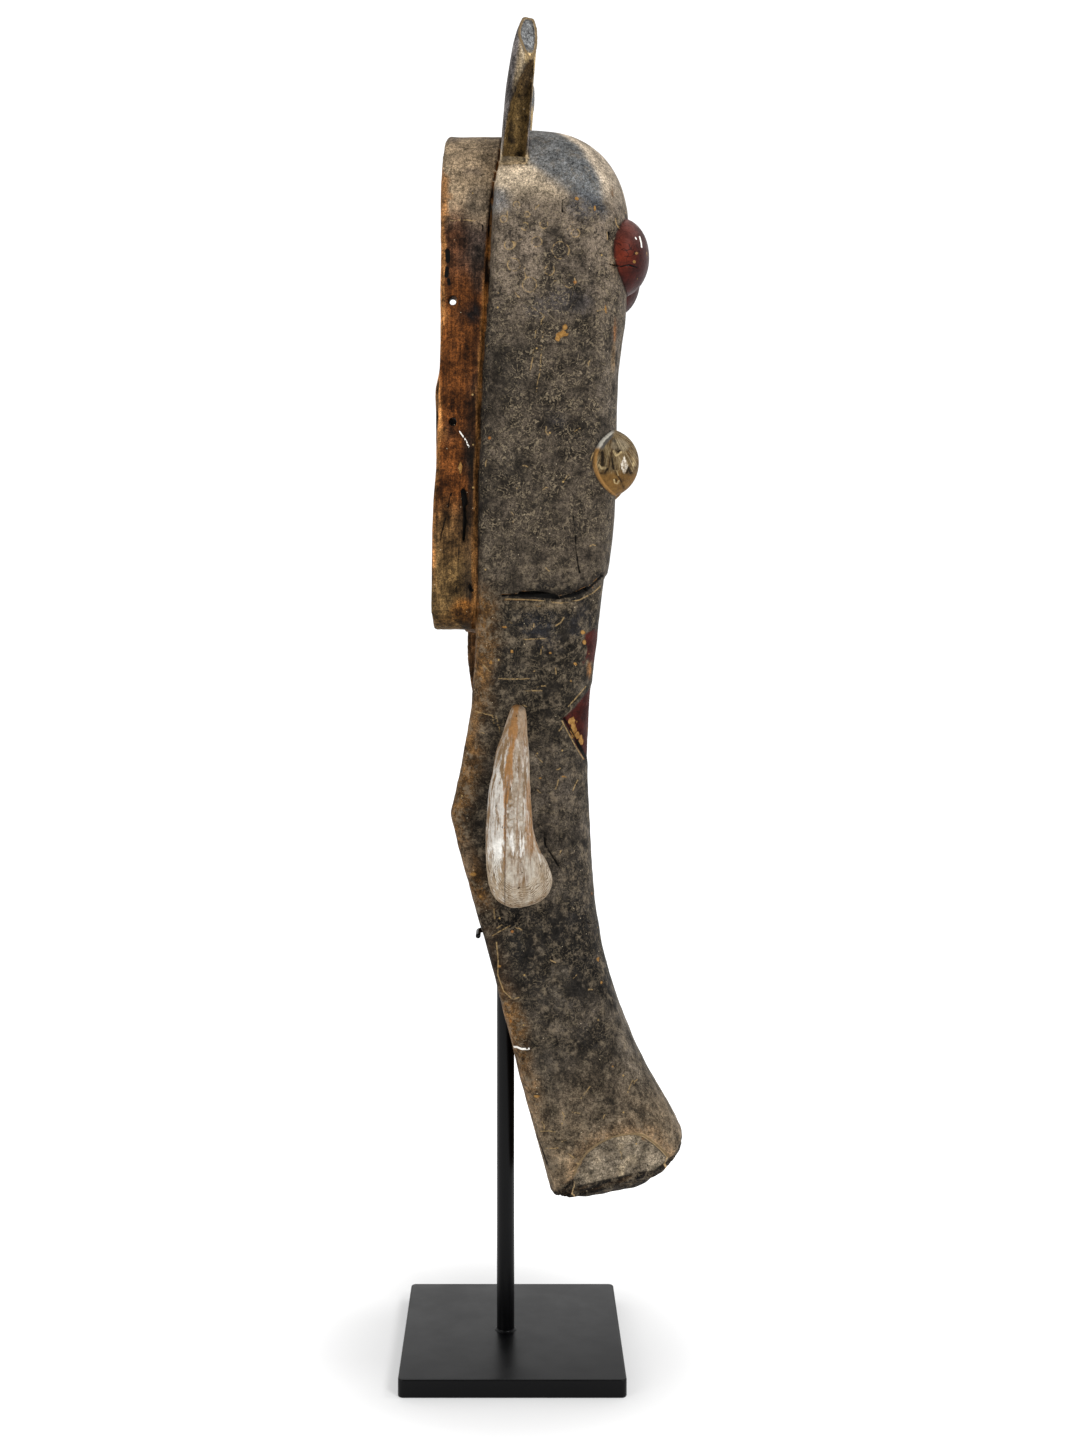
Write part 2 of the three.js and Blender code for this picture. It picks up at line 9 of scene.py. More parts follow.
import bmesh
import bpy
import numpy as np
import openvdb
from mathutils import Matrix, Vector


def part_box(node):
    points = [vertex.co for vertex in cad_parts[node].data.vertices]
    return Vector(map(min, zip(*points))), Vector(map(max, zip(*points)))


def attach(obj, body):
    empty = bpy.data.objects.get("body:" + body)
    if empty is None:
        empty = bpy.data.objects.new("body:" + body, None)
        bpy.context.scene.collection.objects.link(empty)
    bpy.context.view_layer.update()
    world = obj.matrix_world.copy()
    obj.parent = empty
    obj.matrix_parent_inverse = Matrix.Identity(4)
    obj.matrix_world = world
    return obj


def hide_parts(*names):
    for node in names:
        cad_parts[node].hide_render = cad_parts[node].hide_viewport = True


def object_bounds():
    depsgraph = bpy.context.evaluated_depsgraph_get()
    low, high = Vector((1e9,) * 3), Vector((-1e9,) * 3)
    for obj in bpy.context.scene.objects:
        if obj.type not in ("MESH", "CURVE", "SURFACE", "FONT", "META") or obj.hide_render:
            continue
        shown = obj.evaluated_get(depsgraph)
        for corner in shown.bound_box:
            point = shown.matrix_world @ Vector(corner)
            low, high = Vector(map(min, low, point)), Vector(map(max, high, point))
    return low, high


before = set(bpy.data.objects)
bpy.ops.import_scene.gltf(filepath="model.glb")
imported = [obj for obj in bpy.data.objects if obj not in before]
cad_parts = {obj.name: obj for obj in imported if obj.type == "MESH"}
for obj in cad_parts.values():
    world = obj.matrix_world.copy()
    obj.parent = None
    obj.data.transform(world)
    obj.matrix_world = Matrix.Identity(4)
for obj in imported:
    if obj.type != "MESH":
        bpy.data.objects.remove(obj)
cad_low, cad_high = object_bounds()

MM = 0.001

# Camera: level, before the plate's middle, with its frame shifted onto the object
CAMERA_PLACE = (0.0, -1222.7, 560.9)
PHOTO_SIZE = (1086, 1448)
FOCAL_PIXELS = 1640.0
PRINCIPAL_PIXEL = (512.3, 593.4)
SENSOR = 36.0

# Grid on which the carving is worked out
VOXEL = 1.5
GRID_LOW = np.array([-67.5, -88.5, 111.0])
GRID_COUNT = (134, 119, 575)
BAND = 8
RING_COUNT = 240

# Head and trunk
CROWN_Z = 900
CROWN_X = 22
DOME_Z = 825
DOME_REACH = 62.5
DOME_POWER = 2.2
SHOULDER_Z = 815
SHOULDER_POWER = 2.6

# Rim behind the face
RIM_TOP_Z = 896
RIM_BOTTOM_Z = 534.5
RIM_MIDDLE_Z = 710
RIM_HALF_WIDTH = 72
RIM_WALL = 10
RIM_GAP_DEPTH = 4
RIM_SKEW = 6

# Hollow
FACE_WALL = 14
CHANNEL_BOTTOM_Z = 224
CHANNEL_STRAIGHT_Z = 400
CHANNEL_WALL = 11

# Carving below the face
JAW_Z = 557.5
JAW_RISE = 17
JAW_HEIGHT = 32
JAW_DEPTH = 5
LID_MIDDLE = (67, 652.8)
LID_HALF = (13.2, 26.6)
LID_RISE = 1.3
CHEVRON_CORNER = (36.5, 471.5)
CHEVRON_DEPTH = 3.5

# Oval round the flat on the trunk's tip: middle and half sizes in the side view
TIP_OVAL = (85, 137, 41, 36)

# Balls on the head's sides: middle and radii
BOSS = ((77, -43, 802), (21.5, 31.5, 28))
EYE = ((66.2, -57.5, 653.5), (23.8, 24, 24.4))

# Holes through the rim: depth, side and height
TIE_HOLES = [(-42, -1, 767), (-42, -1, 681.5), (-46.6, 1, 789.5), (-44, 1, 706)]
TIE_HOLE_RADIUS = 2.9

# Ears
EAR_TOP_Z = 966
EAR_FOOT_Z = 862
EAR_Y = -66

# Plate and rod
PLATE_CORNER = 4.0
PLATE_BEVEL = 0.9
WELD = 1.6
ROD_BEVEL = 2

# Cradle behind the rod
CRADLE_INNER_Y = 18
CRADLE_BEND_Y = 31

# Distance that stands for no mark near, and how many random numbers each pattern draws on
FAR = 9.0
TABLE_SIZE = 4096

# Triangles of the carving before its marks are cut into it, and at the end
CARVING_TRIANGLES = 125000
MASK_TRIANGLES = 192000

# Edges longer than this are split near the marks, in two rounds
EDGE_LENGTHS = (1.6, 1.0)

# Brightness of the room before and behind the object, and of the floor's glow near it and far off, the
# lower glow near it being a painted shadow
ROOM_BRIGHTNESS = 0.22
BACKDROP_LIGHT = 1.15
FLOOR_GLOW_NEAR = 0.34
FLOOR_GLOW_FAR = 0.86

# In metres: half the floor's width, and the distances between which its brightness changes
FLOOR_HALF = 12.0
FLOOR_GLOW_REACH = (0.09, 0.24)


def profile(pairs):
    """Smooth curve without overshoot through (height, size) pairs, listed upwards."""
    heights, sizes = np.array(pairs, float).T
    secant = np.diff(sizes) / np.diff(heights)
    before = np.concatenate([secant[:1], secant])
    after = np.concatenate([secant, secant[-1:]])
    total = np.where(before * after > 0, before + after, 1)
    slope = np.where(before * after > 0, 2 * before * after / total, 0)

    def size_at(height):
        held = np.clip(height, heights[0], heights[-1])
        i = np.searchsorted(heights[1:-1], held)
        span = heights[i + 1] - heights[i]
        t = (held - heights[i]) / span
        rise = t * t * (3 - 2 * t)
        bend = span * t * (1 - t) * ((1 - t) * slope[i] - t * slope[i + 1])
        return sizes[i] + (sizes[i + 1] - sizes[i]) * rise + bend

    return size_at


# By height: edges in the side view, half widths, the sections' powers, and the ears' places and sizes
front_edge = profile([
    (90, 156), (150, 131), (175, 119.5), (210, 99.5), (245, 84.2), (280, 72.2), (315, 63.8), (350, 59.4),
    (400, 56.5), (440, 55.6), (480, 57.4), (525, 62), (560, 66.8), (585, 70.8), (630, 75.2), (690, 76.3),
    (715, 77.2), (740, 79.5), (760, 82.2), (DOME_Z, CROWN_X + DOME_REACH),
])
rear_edge = profile([
    (90, 37), (131, 26), (180, 13.2), (230, 0.2), (290, -14.9), (340, -28.8), (372, -38), (397, -44.2),
    (402, -45), (407, -44.2), (440, -36.8), (485, -29.5), (535, -26.3), (640, -24), (710, -21.3),
    (780, -16.4), (845, -13.2), (870, -9), (CROWN_Z, -5),
])
rim_edge = profile([
    (RIM_BOTTOM_Z, -55), (550, -56.8), (590, -56.6), (665, -52.4), (705, -50.8), (850, -49.8), (870, -48.8),
    (884, -47.4), (RIM_TOP_Z, -44.5),
])
side_width = profile([
    (90, 46), (150, 49), (220, 47), (300, 47.5), (380, 51), (440, 55), (500, 62), (560, 72), (600, 77),
    (660, 81), (SHOULDER_Z, 80),
])
front_power = profile([
    (90, 2.7), (200, 2.9), (300, 3.3), (500, 3.6), (600, 4.4), (800, 4.4), (860, 3), (900, 2.2),
])
rear_power = profile([(90, 4), (210, 6), (280, 12), (900, 12)])
far_edge_step = profile([(474, 0), (528, 9), (545, 9), (590, 0)])
far_rim_lumps = profile([(676, 0), (690, 3), (697, 1.5), (706, 4), (714, 2), (724, 4), (738, 0)])
rim_gap_width = profile([(536, 2), (680, 2), (740, 2.6), (790, 3.2), (825, 2.2), (850, 1.4), (880, 1.2)])
tusk_streak = profile([(360, -5), (391, -5), (415, -4.6), (441, -1.6), (464, 0.7), (484, 3)])
ear_centre = profile([(EAR_FOOT_Z, 0.6), (910, 4.4), (944, 8.4), (EAR_TOP_Z, 11.3)])
ear_half_x = profile([(EAR_FOOT_Z, 9.8), (910, 9.6), (944, 8.5), (958, 6.6), (EAR_TOP_Z, 3.2)])
ear_half_y = profile([(EAR_FOOT_Z, 15), (910, 14.5), (950, 12), (EAR_TOP_Z, 7)])


def smooth_step(low, high, value):
    """Smooth rise from 0 at low to 1 at high, which may lie below low."""
    t = np.clip((value - low) / (high - low), 0, 1)
    return t * t * (3 - 2 * t)


def signed_power(value, power):
    """Power of a number's size, with the number's sign."""
    return np.sign(value) * np.abs(value) ** power


def front_at(z):
    """Front of the carving at a height, rounded over into the crown."""
    rise = np.clip((z - DOME_Z) / (CROWN_Z - DOME_Z), 0, 1)
    dome = CROWN_X + DOME_REACH * (1 - rise ** DOME_POWER) ** (1 / DOME_POWER)
    return np.where(z <= DOME_Z, front_edge(z), dome)


def half_width_at(z):
    """Half the carving's width at a height, rounded over at the shoulders."""
    rise = np.clip((z - SHOULDER_Z) / (CROWN_Z - SHOULDER_Z), 0, 1)
    return side_width(z) * (1 - rise ** SHOULDER_POWER) ** (1 / SHOULDER_POWER)


def middle_at(z):
    """Depth at which a section of the carving is widest."""
    return rear_edge(z) + 0.42 * (front_at(z) - rear_edge(z))


def forwardness(x, z):
    """-1 at the carving's rear, 0 where it is widest and 1 at its front."""
    middle = middle_at(z)
    reach = np.maximum(np.where(x >= middle, front_at(z) - middle, middle - rear_edge(z)), 1)
    power = np.where(x >= middle, front_power(z), rear_power(z)) / 2
    return signed_power(np.clip((x - middle) / reach, -1, 1), power)


def carving_rings(heights):
    """Sections of the head or trunk: rounded at the front, squarer behind."""
    z = np.asarray(heights, float)[:, None]
    angle = 2 * np.pi * np.arange(RING_COUNT)[None, :] / RING_COUNT
    forward, across = np.cos(angle), np.sin(angle)
    middle, rear = middle_at(z), rear_edge(z)
    power = 2 / np.where(forward >= 0, front_power(z), rear_power(z))
    far_step = np.where(across > 0, far_edge_step(z), 0)
    reach = np.where(forward >= 0, front_at(z) - middle, middle - rear + far_step)
    x = middle + reach * signed_power(forward, power)
    y = half_width_at(z) * signed_power(across, power)
    return np.stack([x, y, z + 0 * x], axis=-1)


def arch_ring(x_at, inset):
    """The rim's outline seen from behind: an arch with a square foot, drawn in by an inset."""
    angle = 2 * np.pi * (np.arange(RING_COUNT) + 0.5) / RING_COUNT
    up, across = np.sin(angle), np.cos(angle)
    power = 2 / np.where(up >= 0, 3.2, 9)
    reach = np.where(up >= 0, RIM_TOP_Z - RIM_MIDDLE_Z, RIM_MIDDLE_Z - RIM_BOTTOM_Z) - inset
    z = RIM_MIDDLE_Z + reach * signed_power(up, power)
    y = (RIM_HALF_WIDTH - inset) * signed_power(across, power)
    return np.stack([x_at(z, y) + 0 * z, y, z], axis=-1)


def oval_ring(centre, half_x, half_y, power):
    """Level oval round a centre: a power of 2 makes it an ellipse, and more makes it squarer."""
    angle = 2 * np.pi * (np.arange(RING_COUNT) + 0.5) / RING_COUNT
    x = centre[0] + half_x * signed_power(np.cos(angle), 2 / power)
    y = centre[1] + half_y * signed_power(np.sin(angle), 2 / power)
    return np.stack([x, y, centre[2] + 0 * x], axis=-1)


def rim_rear(z, y):
    """Rear edge of the rim: the far side reaches further back and is lumpy near its middle."""
    far = 0.5 + 0.5 * y / RIM_HALF_WIDTH
    return rim_edge(z) - RIM_SKEW * far - np.where(y > 0, far_rim_lumps(z), 0)


def grid_axes():
    """Millimetre places along the three directions of the grid, ready to combine."""
    x, y, z = (low + VOXEL * np.arange(count) for low, count in zip(GRID_LOW, GRID_COUNT))
    return (x[:, None, None].astype(np.float32), y[None, :, None].astype(np.float32),
            z[None, None, :].astype(np.float32))


X, Y, Z = grid_axes()


def loft_field(rings):
    """Distance in millimetres from a closed skin over rings of points, negative inside."""
    rings = np.asarray(rings)
    level_count, count = rings.shape[:2]
    hub = level_count * count
    points = np.vstack([rings.reshape(-1, 3), rings[0].mean(axis=0), rings[-1].mean(axis=0)])
    here = np.arange(count)
    after = (here + 1) % count
    low = (np.arange(level_count - 1) * count)[:, None]
    quads = np.stack([low + here, low + after, low + count + after, low + count + here], axis=-1)
    top = hub - count
    fans = np.vstack([
        np.stack([np.full(count, hub), after, here], axis=-1),
        np.stack([np.full(count, hub + 1), top + here, top + after], axis=-1),
    ])
    level_set = openvdb.FloatGrid.createLevelSetFromPolygons(
        ((points - GRID_LOW) / VOXEL).astype(np.float32),
        triangles=fans.astype(np.uint32),
        quads=quads.reshape(-1, 4).astype(np.uint32),
        halfWidth=float(BAND),
    )
    field = np.zeros(GRID_COUNT, np.float32)
    level_set.copyToArray(field)
    return field * VOXEL


def blended(a, b, radius):
    """Union of two shapes with a fillet between them."""
    return np.minimum(a, b) - np.maximum(radius - np.abs(a - b), 0) ** 2 / (4 * radius)


def both_sides(field):
    """A shape of the near side together with its mirror image."""
    return np.minimum(field, field[:, ::-1, :])


def turn_about(axis, degrees, x, y, z):
    """Coordinates turned back about an axis, to meet a shape that was turned by that angle."""
    c, s = math.cos(math.radians(degrees)), math.sin(math.radians(degrees))
    if axis == "x":
        return x, c * y + s * z, c * z - s * y
    if axis == "y":
        return c * x - s * z, y, c * z + s * x
    return c * x + s * y, c * y - s * x, z


def ellipsoid_field(centre, radii):
    """Ball stretched along three directions."""
    x, y, z = X - centre[0], Y - centre[1], Z - centre[2]
    near = np.sqrt((x / radii[0]) ** 2 + (y / radii[1]) ** 2 + (z / radii[2]) ** 2)
    steep = np.sqrt((x / radii[0] ** 2) ** 2 + (y / radii[1] ** 2) ** 2 + (z / radii[2] ** 2) ** 2)
    return near * (near - 1) / np.maximum(steep, 1e-4)


def slab_field(low, high, turns, place):
    """Box from one corner to the other, turned and moved."""
    x, y, z = X - place[0], Y - place[1], Z - place[2]
    for axis, degrees in reversed(turns):
        x, y, z = turn_about(axis, degrees, x, y, z)
    sides = [np.maximum(a - value, value - b) for value, a, b in zip((x, y, z), low, high)]
    return np.maximum(np.maximum(sides[0], sides[1]), sides[2])


def carving_block():
    """Head and trunk in one, before anything is cut or added."""
    heights = [*np.arange(96, SHOULDER_Z, 3.0)]
    steps = 40
    heights += [SHOULDER_Z + (CROWN_Z - SHOULDER_Z) * math.sin(i / (steps + 0.3) * math.pi / 2)
                for i in range(steps + 1)]
    return loft_field(carving_rings(heights))


def jaw_line(x):
    """Height of the face's lower edge, which rises towards the front."""
    return JAW_Z + JAW_RISE * smooth_step(40, 72, x)


def chevron_distance(x, z):
    """Distance in the side view from the let-in diamond, negative inside it."""
    x, z = x - CHEVRON_CORNER[0], z - CHEVRON_CORNER[1]
    upper = z * math.cos(math.radians(47)) - x * math.sin(math.radians(47))
    lower = -z * math.cos(math.radians(60)) - x * math.sin(math.radians(60))
    return np.maximum(upper, lower)


def lid_distance(x, z):
    """Distance in the side view from the outline of the lid round the eye, negative inside it."""
    reach = np.hypot((x - LID_MIDDLE[0]) / LID_HALF[0], (z - LID_MIDDLE[1]) / LID_HALF[1])
    return (reach - 1) * LID_HALF[0]


def recess_depth():
    """How deep the recesses below the jaw and in the trunk's front lie, less the lid's rise."""
    x, z = X[:, 0, :], Z[:, 0, :]
    forward = forwardness(x, z)
    shallower = 1 - 0.75 * smooth_step(0.55, 0.9, forward)
    rise = np.maximum(0, (z - JAW_Z + JAW_HEIGHT) / JAW_HEIGHT)
    below = np.clip((jaw_line(x) - z) / VOXEL + 0.5, 0, 1)
    jaw = JAW_DEPTH * rise * smooth_step(-0.5, 0.1, forward) * below
    chevron = CHEVRON_DEPTH * np.clip(0.5 - chevron_distance(x, z) / VOXEL, 0, 1)
    lid = LID_RISE * smooth_step(0.8, -0.8, lid_distance(x, z))
    return ((jaw + chevron) * shallower - lid)[:, None, :].astype(np.float32)


def end_field():
    """What lies below the trunk's slanted end, which curls up towards its side edges."""
    bottom = profile([(10, 130), (30, 123.2), (50, 119.4), (69, 121.6), (96, 129), (107, 136.4),
                      (115, 147.2), (125, 161), (138, 190), (180, 260)])
    edge_rise = profile([(20, 6), (60, 20), (90, 25.5), (105, 21), (120, 10), (180, 10)])
    edge_half_width = 45
    x, y = X[:, :, 0], Y[:, :, 0]
    low = bottom(x) + edge_rise(x) * np.minimum(np.abs(y) / edge_half_width, 1.2) ** 5
    steep = np.sqrt(1 + sum(slope ** 2 for slope in np.gradient(low, VOXEL)))
    return ((Z - low[:, :, None]) / steep[:, :, None]).astype(np.float32)


def tip_facet_field():
    """Flat pared off each side of the trunk's tip, inside an oval outline."""
    flat = slab_field((-75, -40, -55), (75, 0, 45), [("x", 9.3), ("z", 6.8)], (84, -46.5, 172.8))
    middle_x, middle_z, half_x, half_z = TIP_OVAL
    oval = (np.hypot((X - middle_x) / half_x, (Z - middle_z) / half_z) - 1) * half_z
    return both_sides(np.maximum(flat, oval))


def rim_field():
    """The rim from its lumpy rear edge to the groove between it and the head."""
    def behind(extra):
        return lambda z, y: rear_edge(z) - rim_gap_width(z) * (extra == 0) + extra
    return loft_field([
        arch_ring(rim_rear, 1.5),
        arch_ring(lambda z, y: rim_rear(z, y) + 1.5, 0),
        arch_ring(behind(0), 0),
        arch_ring(behind(0), RIM_GAP_DEPTH),
        arch_ring(behind(8), RIM_GAP_DEPTH),
    ])


def face_hollow_field():
    """The hollow for the wearer's face, open behind and rounded where it meets the front wall."""
    def wall_from(depth):
        return lambda z, y: front_at(np.minimum(z, CROWN_Z - 16)) - FACE_WALL - depth
    return loft_field([
        arch_ring(lambda z, y: rim_rear(z, y) - 10, RIM_WALL),
        arch_ring(lambda z, y: rear_edge(z) - 6, RIM_WALL),
        arch_ring(lambda z, y: 10 + 0 * z, 8),
        arch_ring(wall_from(32), 10),
        arch_ring(wall_from(14), 16),
        arch_ring(wall_from(4), 26),
        arch_ring(wall_from(0), 42),
    ])


def channel_rings(heights, rear):
    """Sections of the hollow down the back of the trunk, from its open rear."""
    top = front_at(CHANNEL_STRAIGHT_Z) - FACE_WALL - 1.5
    z = np.asarray(heights, float)[:, None]
    t = (z - CHANNEL_BOTTOM_Z) / (CHANNEL_STRAIGHT_Z - CHANNEL_BOTTOM_Z)
    front = np.where(z >= CHANNEL_STRAIGHT_Z, front_at(z) - FACE_WALL - 1.5, 3.6 + (top - 3.6) * t)
    middle = (front + rear) / 2
    half_width = half_width_at(z) - CHANNEL_WALL - 0.06 * np.maximum(0, CHANNEL_STRAIGHT_Z - z)
    angle = 2 * np.pi * (np.arange(RING_COUNT) + 0.5)[None, :] / RING_COUNT
    power = 2 / np.where(np.cos(angle) >= 0, 3, 8)
    x = middle + (front - middle) * signed_power(np.cos(angle), power)
    y = half_width * signed_power(np.sin(angle), power)
    return np.stack([x, y, z + 0 * x], axis=-1)


def trunk_hollow_field():
    """The hollow down the back of the trunk, with the passage up to the face's hollow."""
    open_part = loft_field(channel_rings(np.arange(CHANNEL_BOTTOM_Z - 12, RIM_BOTTOM_Z, 4), -75))
    passage = loft_field(channel_rings(np.arange(RIM_BOTTOM_Z - 16, RIM_BOTTOM_Z + 45, 4), -22))
    return np.minimum(open_part, passage)


def smooth_path(points, count):
    """Catmull-Rom curve through points: places and directions along it."""
    points = np.asarray(points, float)
    ends = [2 * points[0] - points[1], 2 * points[-1] - points[-2]]
    p = np.vstack([ends[0], points, ends[1]])
    t = np.linspace(0, len(points) - 1, count)
    i = np.minimum(t.astype(int), len(points) - 2)
    t = (t - i)[:, None]
    a, b, c, d = p[i], p[i + 1], p[i + 2], p[i + 3]
    place = 0.5 * (2 * b + (c - a) * t + (2 * a - 5 * b + 4 * c - d) * t ** 2
                   + (3 * b - 3 * c + d - a) * t ** 3)
    along = np.gradient(place, axis=0)
    return place, along / np.linalg.norm(along, axis=1, keepdims=True)


def tusk_field():
    """Tusk that leaves the side of the trunk and turns up, with a blunt ridge down its outer face."""
    path = [(15, -36, 368), (11, -52, 361), (2, -61, 356.5), (-1.4, -65, 372), (-2.4, -67.5, 395),
            (-2, -69, 420), (0, -69, 446), (2.2, -68, 463), (4.4, -66.5, 482.5)]
    radius_at = profile([(0, 12), (0.1, 14), (0.25, 18.8), (0.36, 18), (0.5, 16.8), (0.62, 14.8),
                         (0.78, 11.4), (0.88, 8.6), (0.95, 6.6), (0.985, 5), (1, 2.8)])
    steps = 80
    place, along = smooth_path(path, steps)
    first = np.cross((0, 1, 0), along)
    first /= np.linalg.norm(first, axis=1, keepdims=True)
    second = np.cross(along, first)
    angle = 2 * np.pi * np.arange(RING_COUNT) / RING_COUNT
    from_ridge = angle - math.radians(262)
    share = 0.97 + 0.035 * np.cos(3 * from_ridge) + 0.03 * np.exp(-(np.sin(from_ridge / 2) / 0.09) ** 2)
    radius = radius_at(np.linspace(0, 1, steps))[:, None, None] * share[None, :, None]
    forward, aside = np.cos(angle)[None, :, None], np.sin(angle)[None, :, None]
    rings = place[:, None, :] + radius * (first[:, None, :] * forward + second[:, None, :] * aside)
    return both_sides(blended(loft_field(rings), tusk_root_field(), 5))


def tusk_root_field():
    """Swelling at the tusk's root, drawn up along the tusk's front edge."""
    low, high = np.array([13.8, -60, 357.4, 14.2, 15, 15]), np.array([3.6, -64, 384, 12, 12, 12])
    balls = [low + (high - low) * share for share in np.linspace(0, 1, 5)]
    return np.min([ellipsoid_field(ball[:3], ball[3:]) for ball in balls], axis=0)


def ear_field():
    """The upright ears, with oval sections."""
    heights = np.linspace(EAR_FOOT_Z, EAR_TOP_Z, 40)
    return both_sides(loft_field([
        oval_ring((ear_centre(z), EAR_Y, z), ear_half_x(z), ear_half_y(z), 3.6) for z in heights]))


def scoop_field():
    """The ear's scoop, open outwards."""
    centre = profile([(866, 1.2), (890, 4), (912, 8), (926, 12), (934, 14.5)])
    half_x = profile([(866, 7.8), (890, 7.2), (912, 5.6), (926, 3.2), (934, 1)])
    depth = profile([(866, 15), (890, 14), (912, 12), (926, 9), (934, 6)])
    return both_sides(loft_field([
        oval_ring((centre(z), EAR_Y - ear_half_y(z) - 1, z), half_x(z), depth(z), 2.6)
        for z in np.linspace(866, 934, 30)]))


def ear_facet_field():
    """Flat pared off the outer side of each ear, towards its tip."""
    turns = [("x", -16), ("z", 30)]
    return both_sides(slab_field((-30, -40, 0), (30, 0, 80), turns, (15, EAR_Y - 11.5, 934)))


def tie_hole_field():
    """Holes for the costume's ties through the sides of the rim."""
    holes = np.full(GRID_COUNT, BAND * VOXEL, np.float32)
    for x, side, z in TIE_HOLES:
        round_hole = np.hypot(X - x, Z - z) - TIE_HOLE_RADIUS
        holes = np.minimum(holes, np.maximum(round_hole, 50 - side * Y))
    return holes


class Carving:
    """The solid as a field of distances, with the edges that its joins and cuts leave."""

    def __init__(self, field):
        self.field = field
        self.crease = np.full(GRID_COUNT, BAND * VOXEL, np.float32)
        self.parts = {}

    def join(self, name, piece, radius):
        self.parts[name] = np.where(piece < BAND * VOXEL, self.field - piece, -BAND * VOXEL)
        self.crease = np.minimum(self.crease, np.hypot(self.field, piece))
        self.field = blended(self.field, piece, radius)

    def cut(self, name, cutter, radius=0.6):
        self.parts[name] = cutter
        self.parts["before_" + name] = self.field
        self.field = -blended(-self.field, cutter, radius)


def carve_mask():
    """Cuts and joins every form of the mask in turn."""
    carving = Carving(carving_block())
    carving.parts["block"] = carving.field.copy()
    carving.field = carving.field + recess_depth()
    carving.cut("tip_facet", tip_facet_field())
    carving.cut("end", end_field(), 1.2)
    carving.join("rim", rim_field(), 0.5)
    carving.join("boss", both_sides(ellipsoid_field(*BOSS)), 0.5)
    carving.join("eye", both_sides(ellipsoid_field(*EYE)), 0.8)
    carving.join("tusk", tusk_field(), 1.5)
    carving.join("ear", ear_field(), 1.5)
    carving.cut("scoop", scoop_field())
    carving.cut("ear_facet", ear_facet_field())
    carving.cut("hollow", np.minimum(face_hollow_field(), trunk_hollow_field()), 1.5)
    carving.cut("tie_hole", tie_hole_field())
    return carving


def sample(field, points):
    """Values of a grid at points in millimetres, read between its cells."""
    place = np.clip((points - GRID_LOW) / VOXEL, 0, np.array(GRID_COUNT) - 1.001)
    low = place.astype(int)
    t = place - low
    total = 0
    for corner in np.ndindex(2, 2, 2):
        share = np.prod(np.where(corner, t, 1 - t), axis=1)
        total = total + share * field[tuple((low + corner).T)]
    return total


def slopes(field, points):
    """Unit directions in which a grid rises at points."""
    step = np.eye(3) * VOXEL * 0.5
    rise = np.stack([sample(field, points + d) - sample(field, points - d) for d in step], axis=-1)
    return rise / np.maximum(np.linalg.norm(rise, axis=1, keepdims=True), 1e-6)


def scattered(cells, table):
    """The random numbers of a table that belong to whole-numbered cells of space."""
    a, b, c = cells.T
    key = (a * 73856093) ^ (b * 19349663) ^ (c * 83492791)
    return table[key & (TABLE_SIZE - 1)]


def noise(points, size, seed, stretch=(1, 1, 1)):
    """Smooth random bumps from -1 to 1, about size millimetres wide."""
    cell = points / (size * np.array(stretch))
    low = np.floor(cell).astype(np.int64)
    t = cell - low
    t = t * t * (3 - 2 * t)
    table = np.random.default_rng(seed).uniform(-1, 1, TABLE_SIZE)
    total = 0
    for corner in np.ndindex(2, 2, 2):
        share = np.prod(np.where(corner, t, 1 - t), axis=1)
        total = total + share * scattered(low + corner, table)
    return total


def gouges(points, size, seed):
    """Scallops left by a gouge: 0 in the middle of each stroke and up to 1 between strokes."""
    cell = points / np.array(size)
    low = np.floor(cell).astype(np.int64)
    table = np.random.default_rng(seed).uniform(0, 1, (TABLE_SIZE, 3))
    nearest = np.full(len(points), FAR)
    for neighbour in np.ndindex(3, 3, 3):
        place = low + neighbour - 1
        away = place + scattered(place, table) - cell
        nearest = np.minimum(nearest, (away ** 2).sum(axis=1))
    return np.clip(nearest, 0, 1)


def line_distance(x, z, line):
    """Distance in the side view from a line of (x, z) points."""
    best = np.full(len(x), 1e3)
    for (x0, z0), (x1, z1) in zip(line, line[1:]):
        dx, dz = x1 - x0, z1 - z0
        t = np.clip(((x - x0) * dx + (z - z0) * dz) / (dx * dx + dz * dz), 0, 1)
        best = np.minimum(best, np.hypot(x - x0 - t * dx, z - z0 - t * dz))
    return best
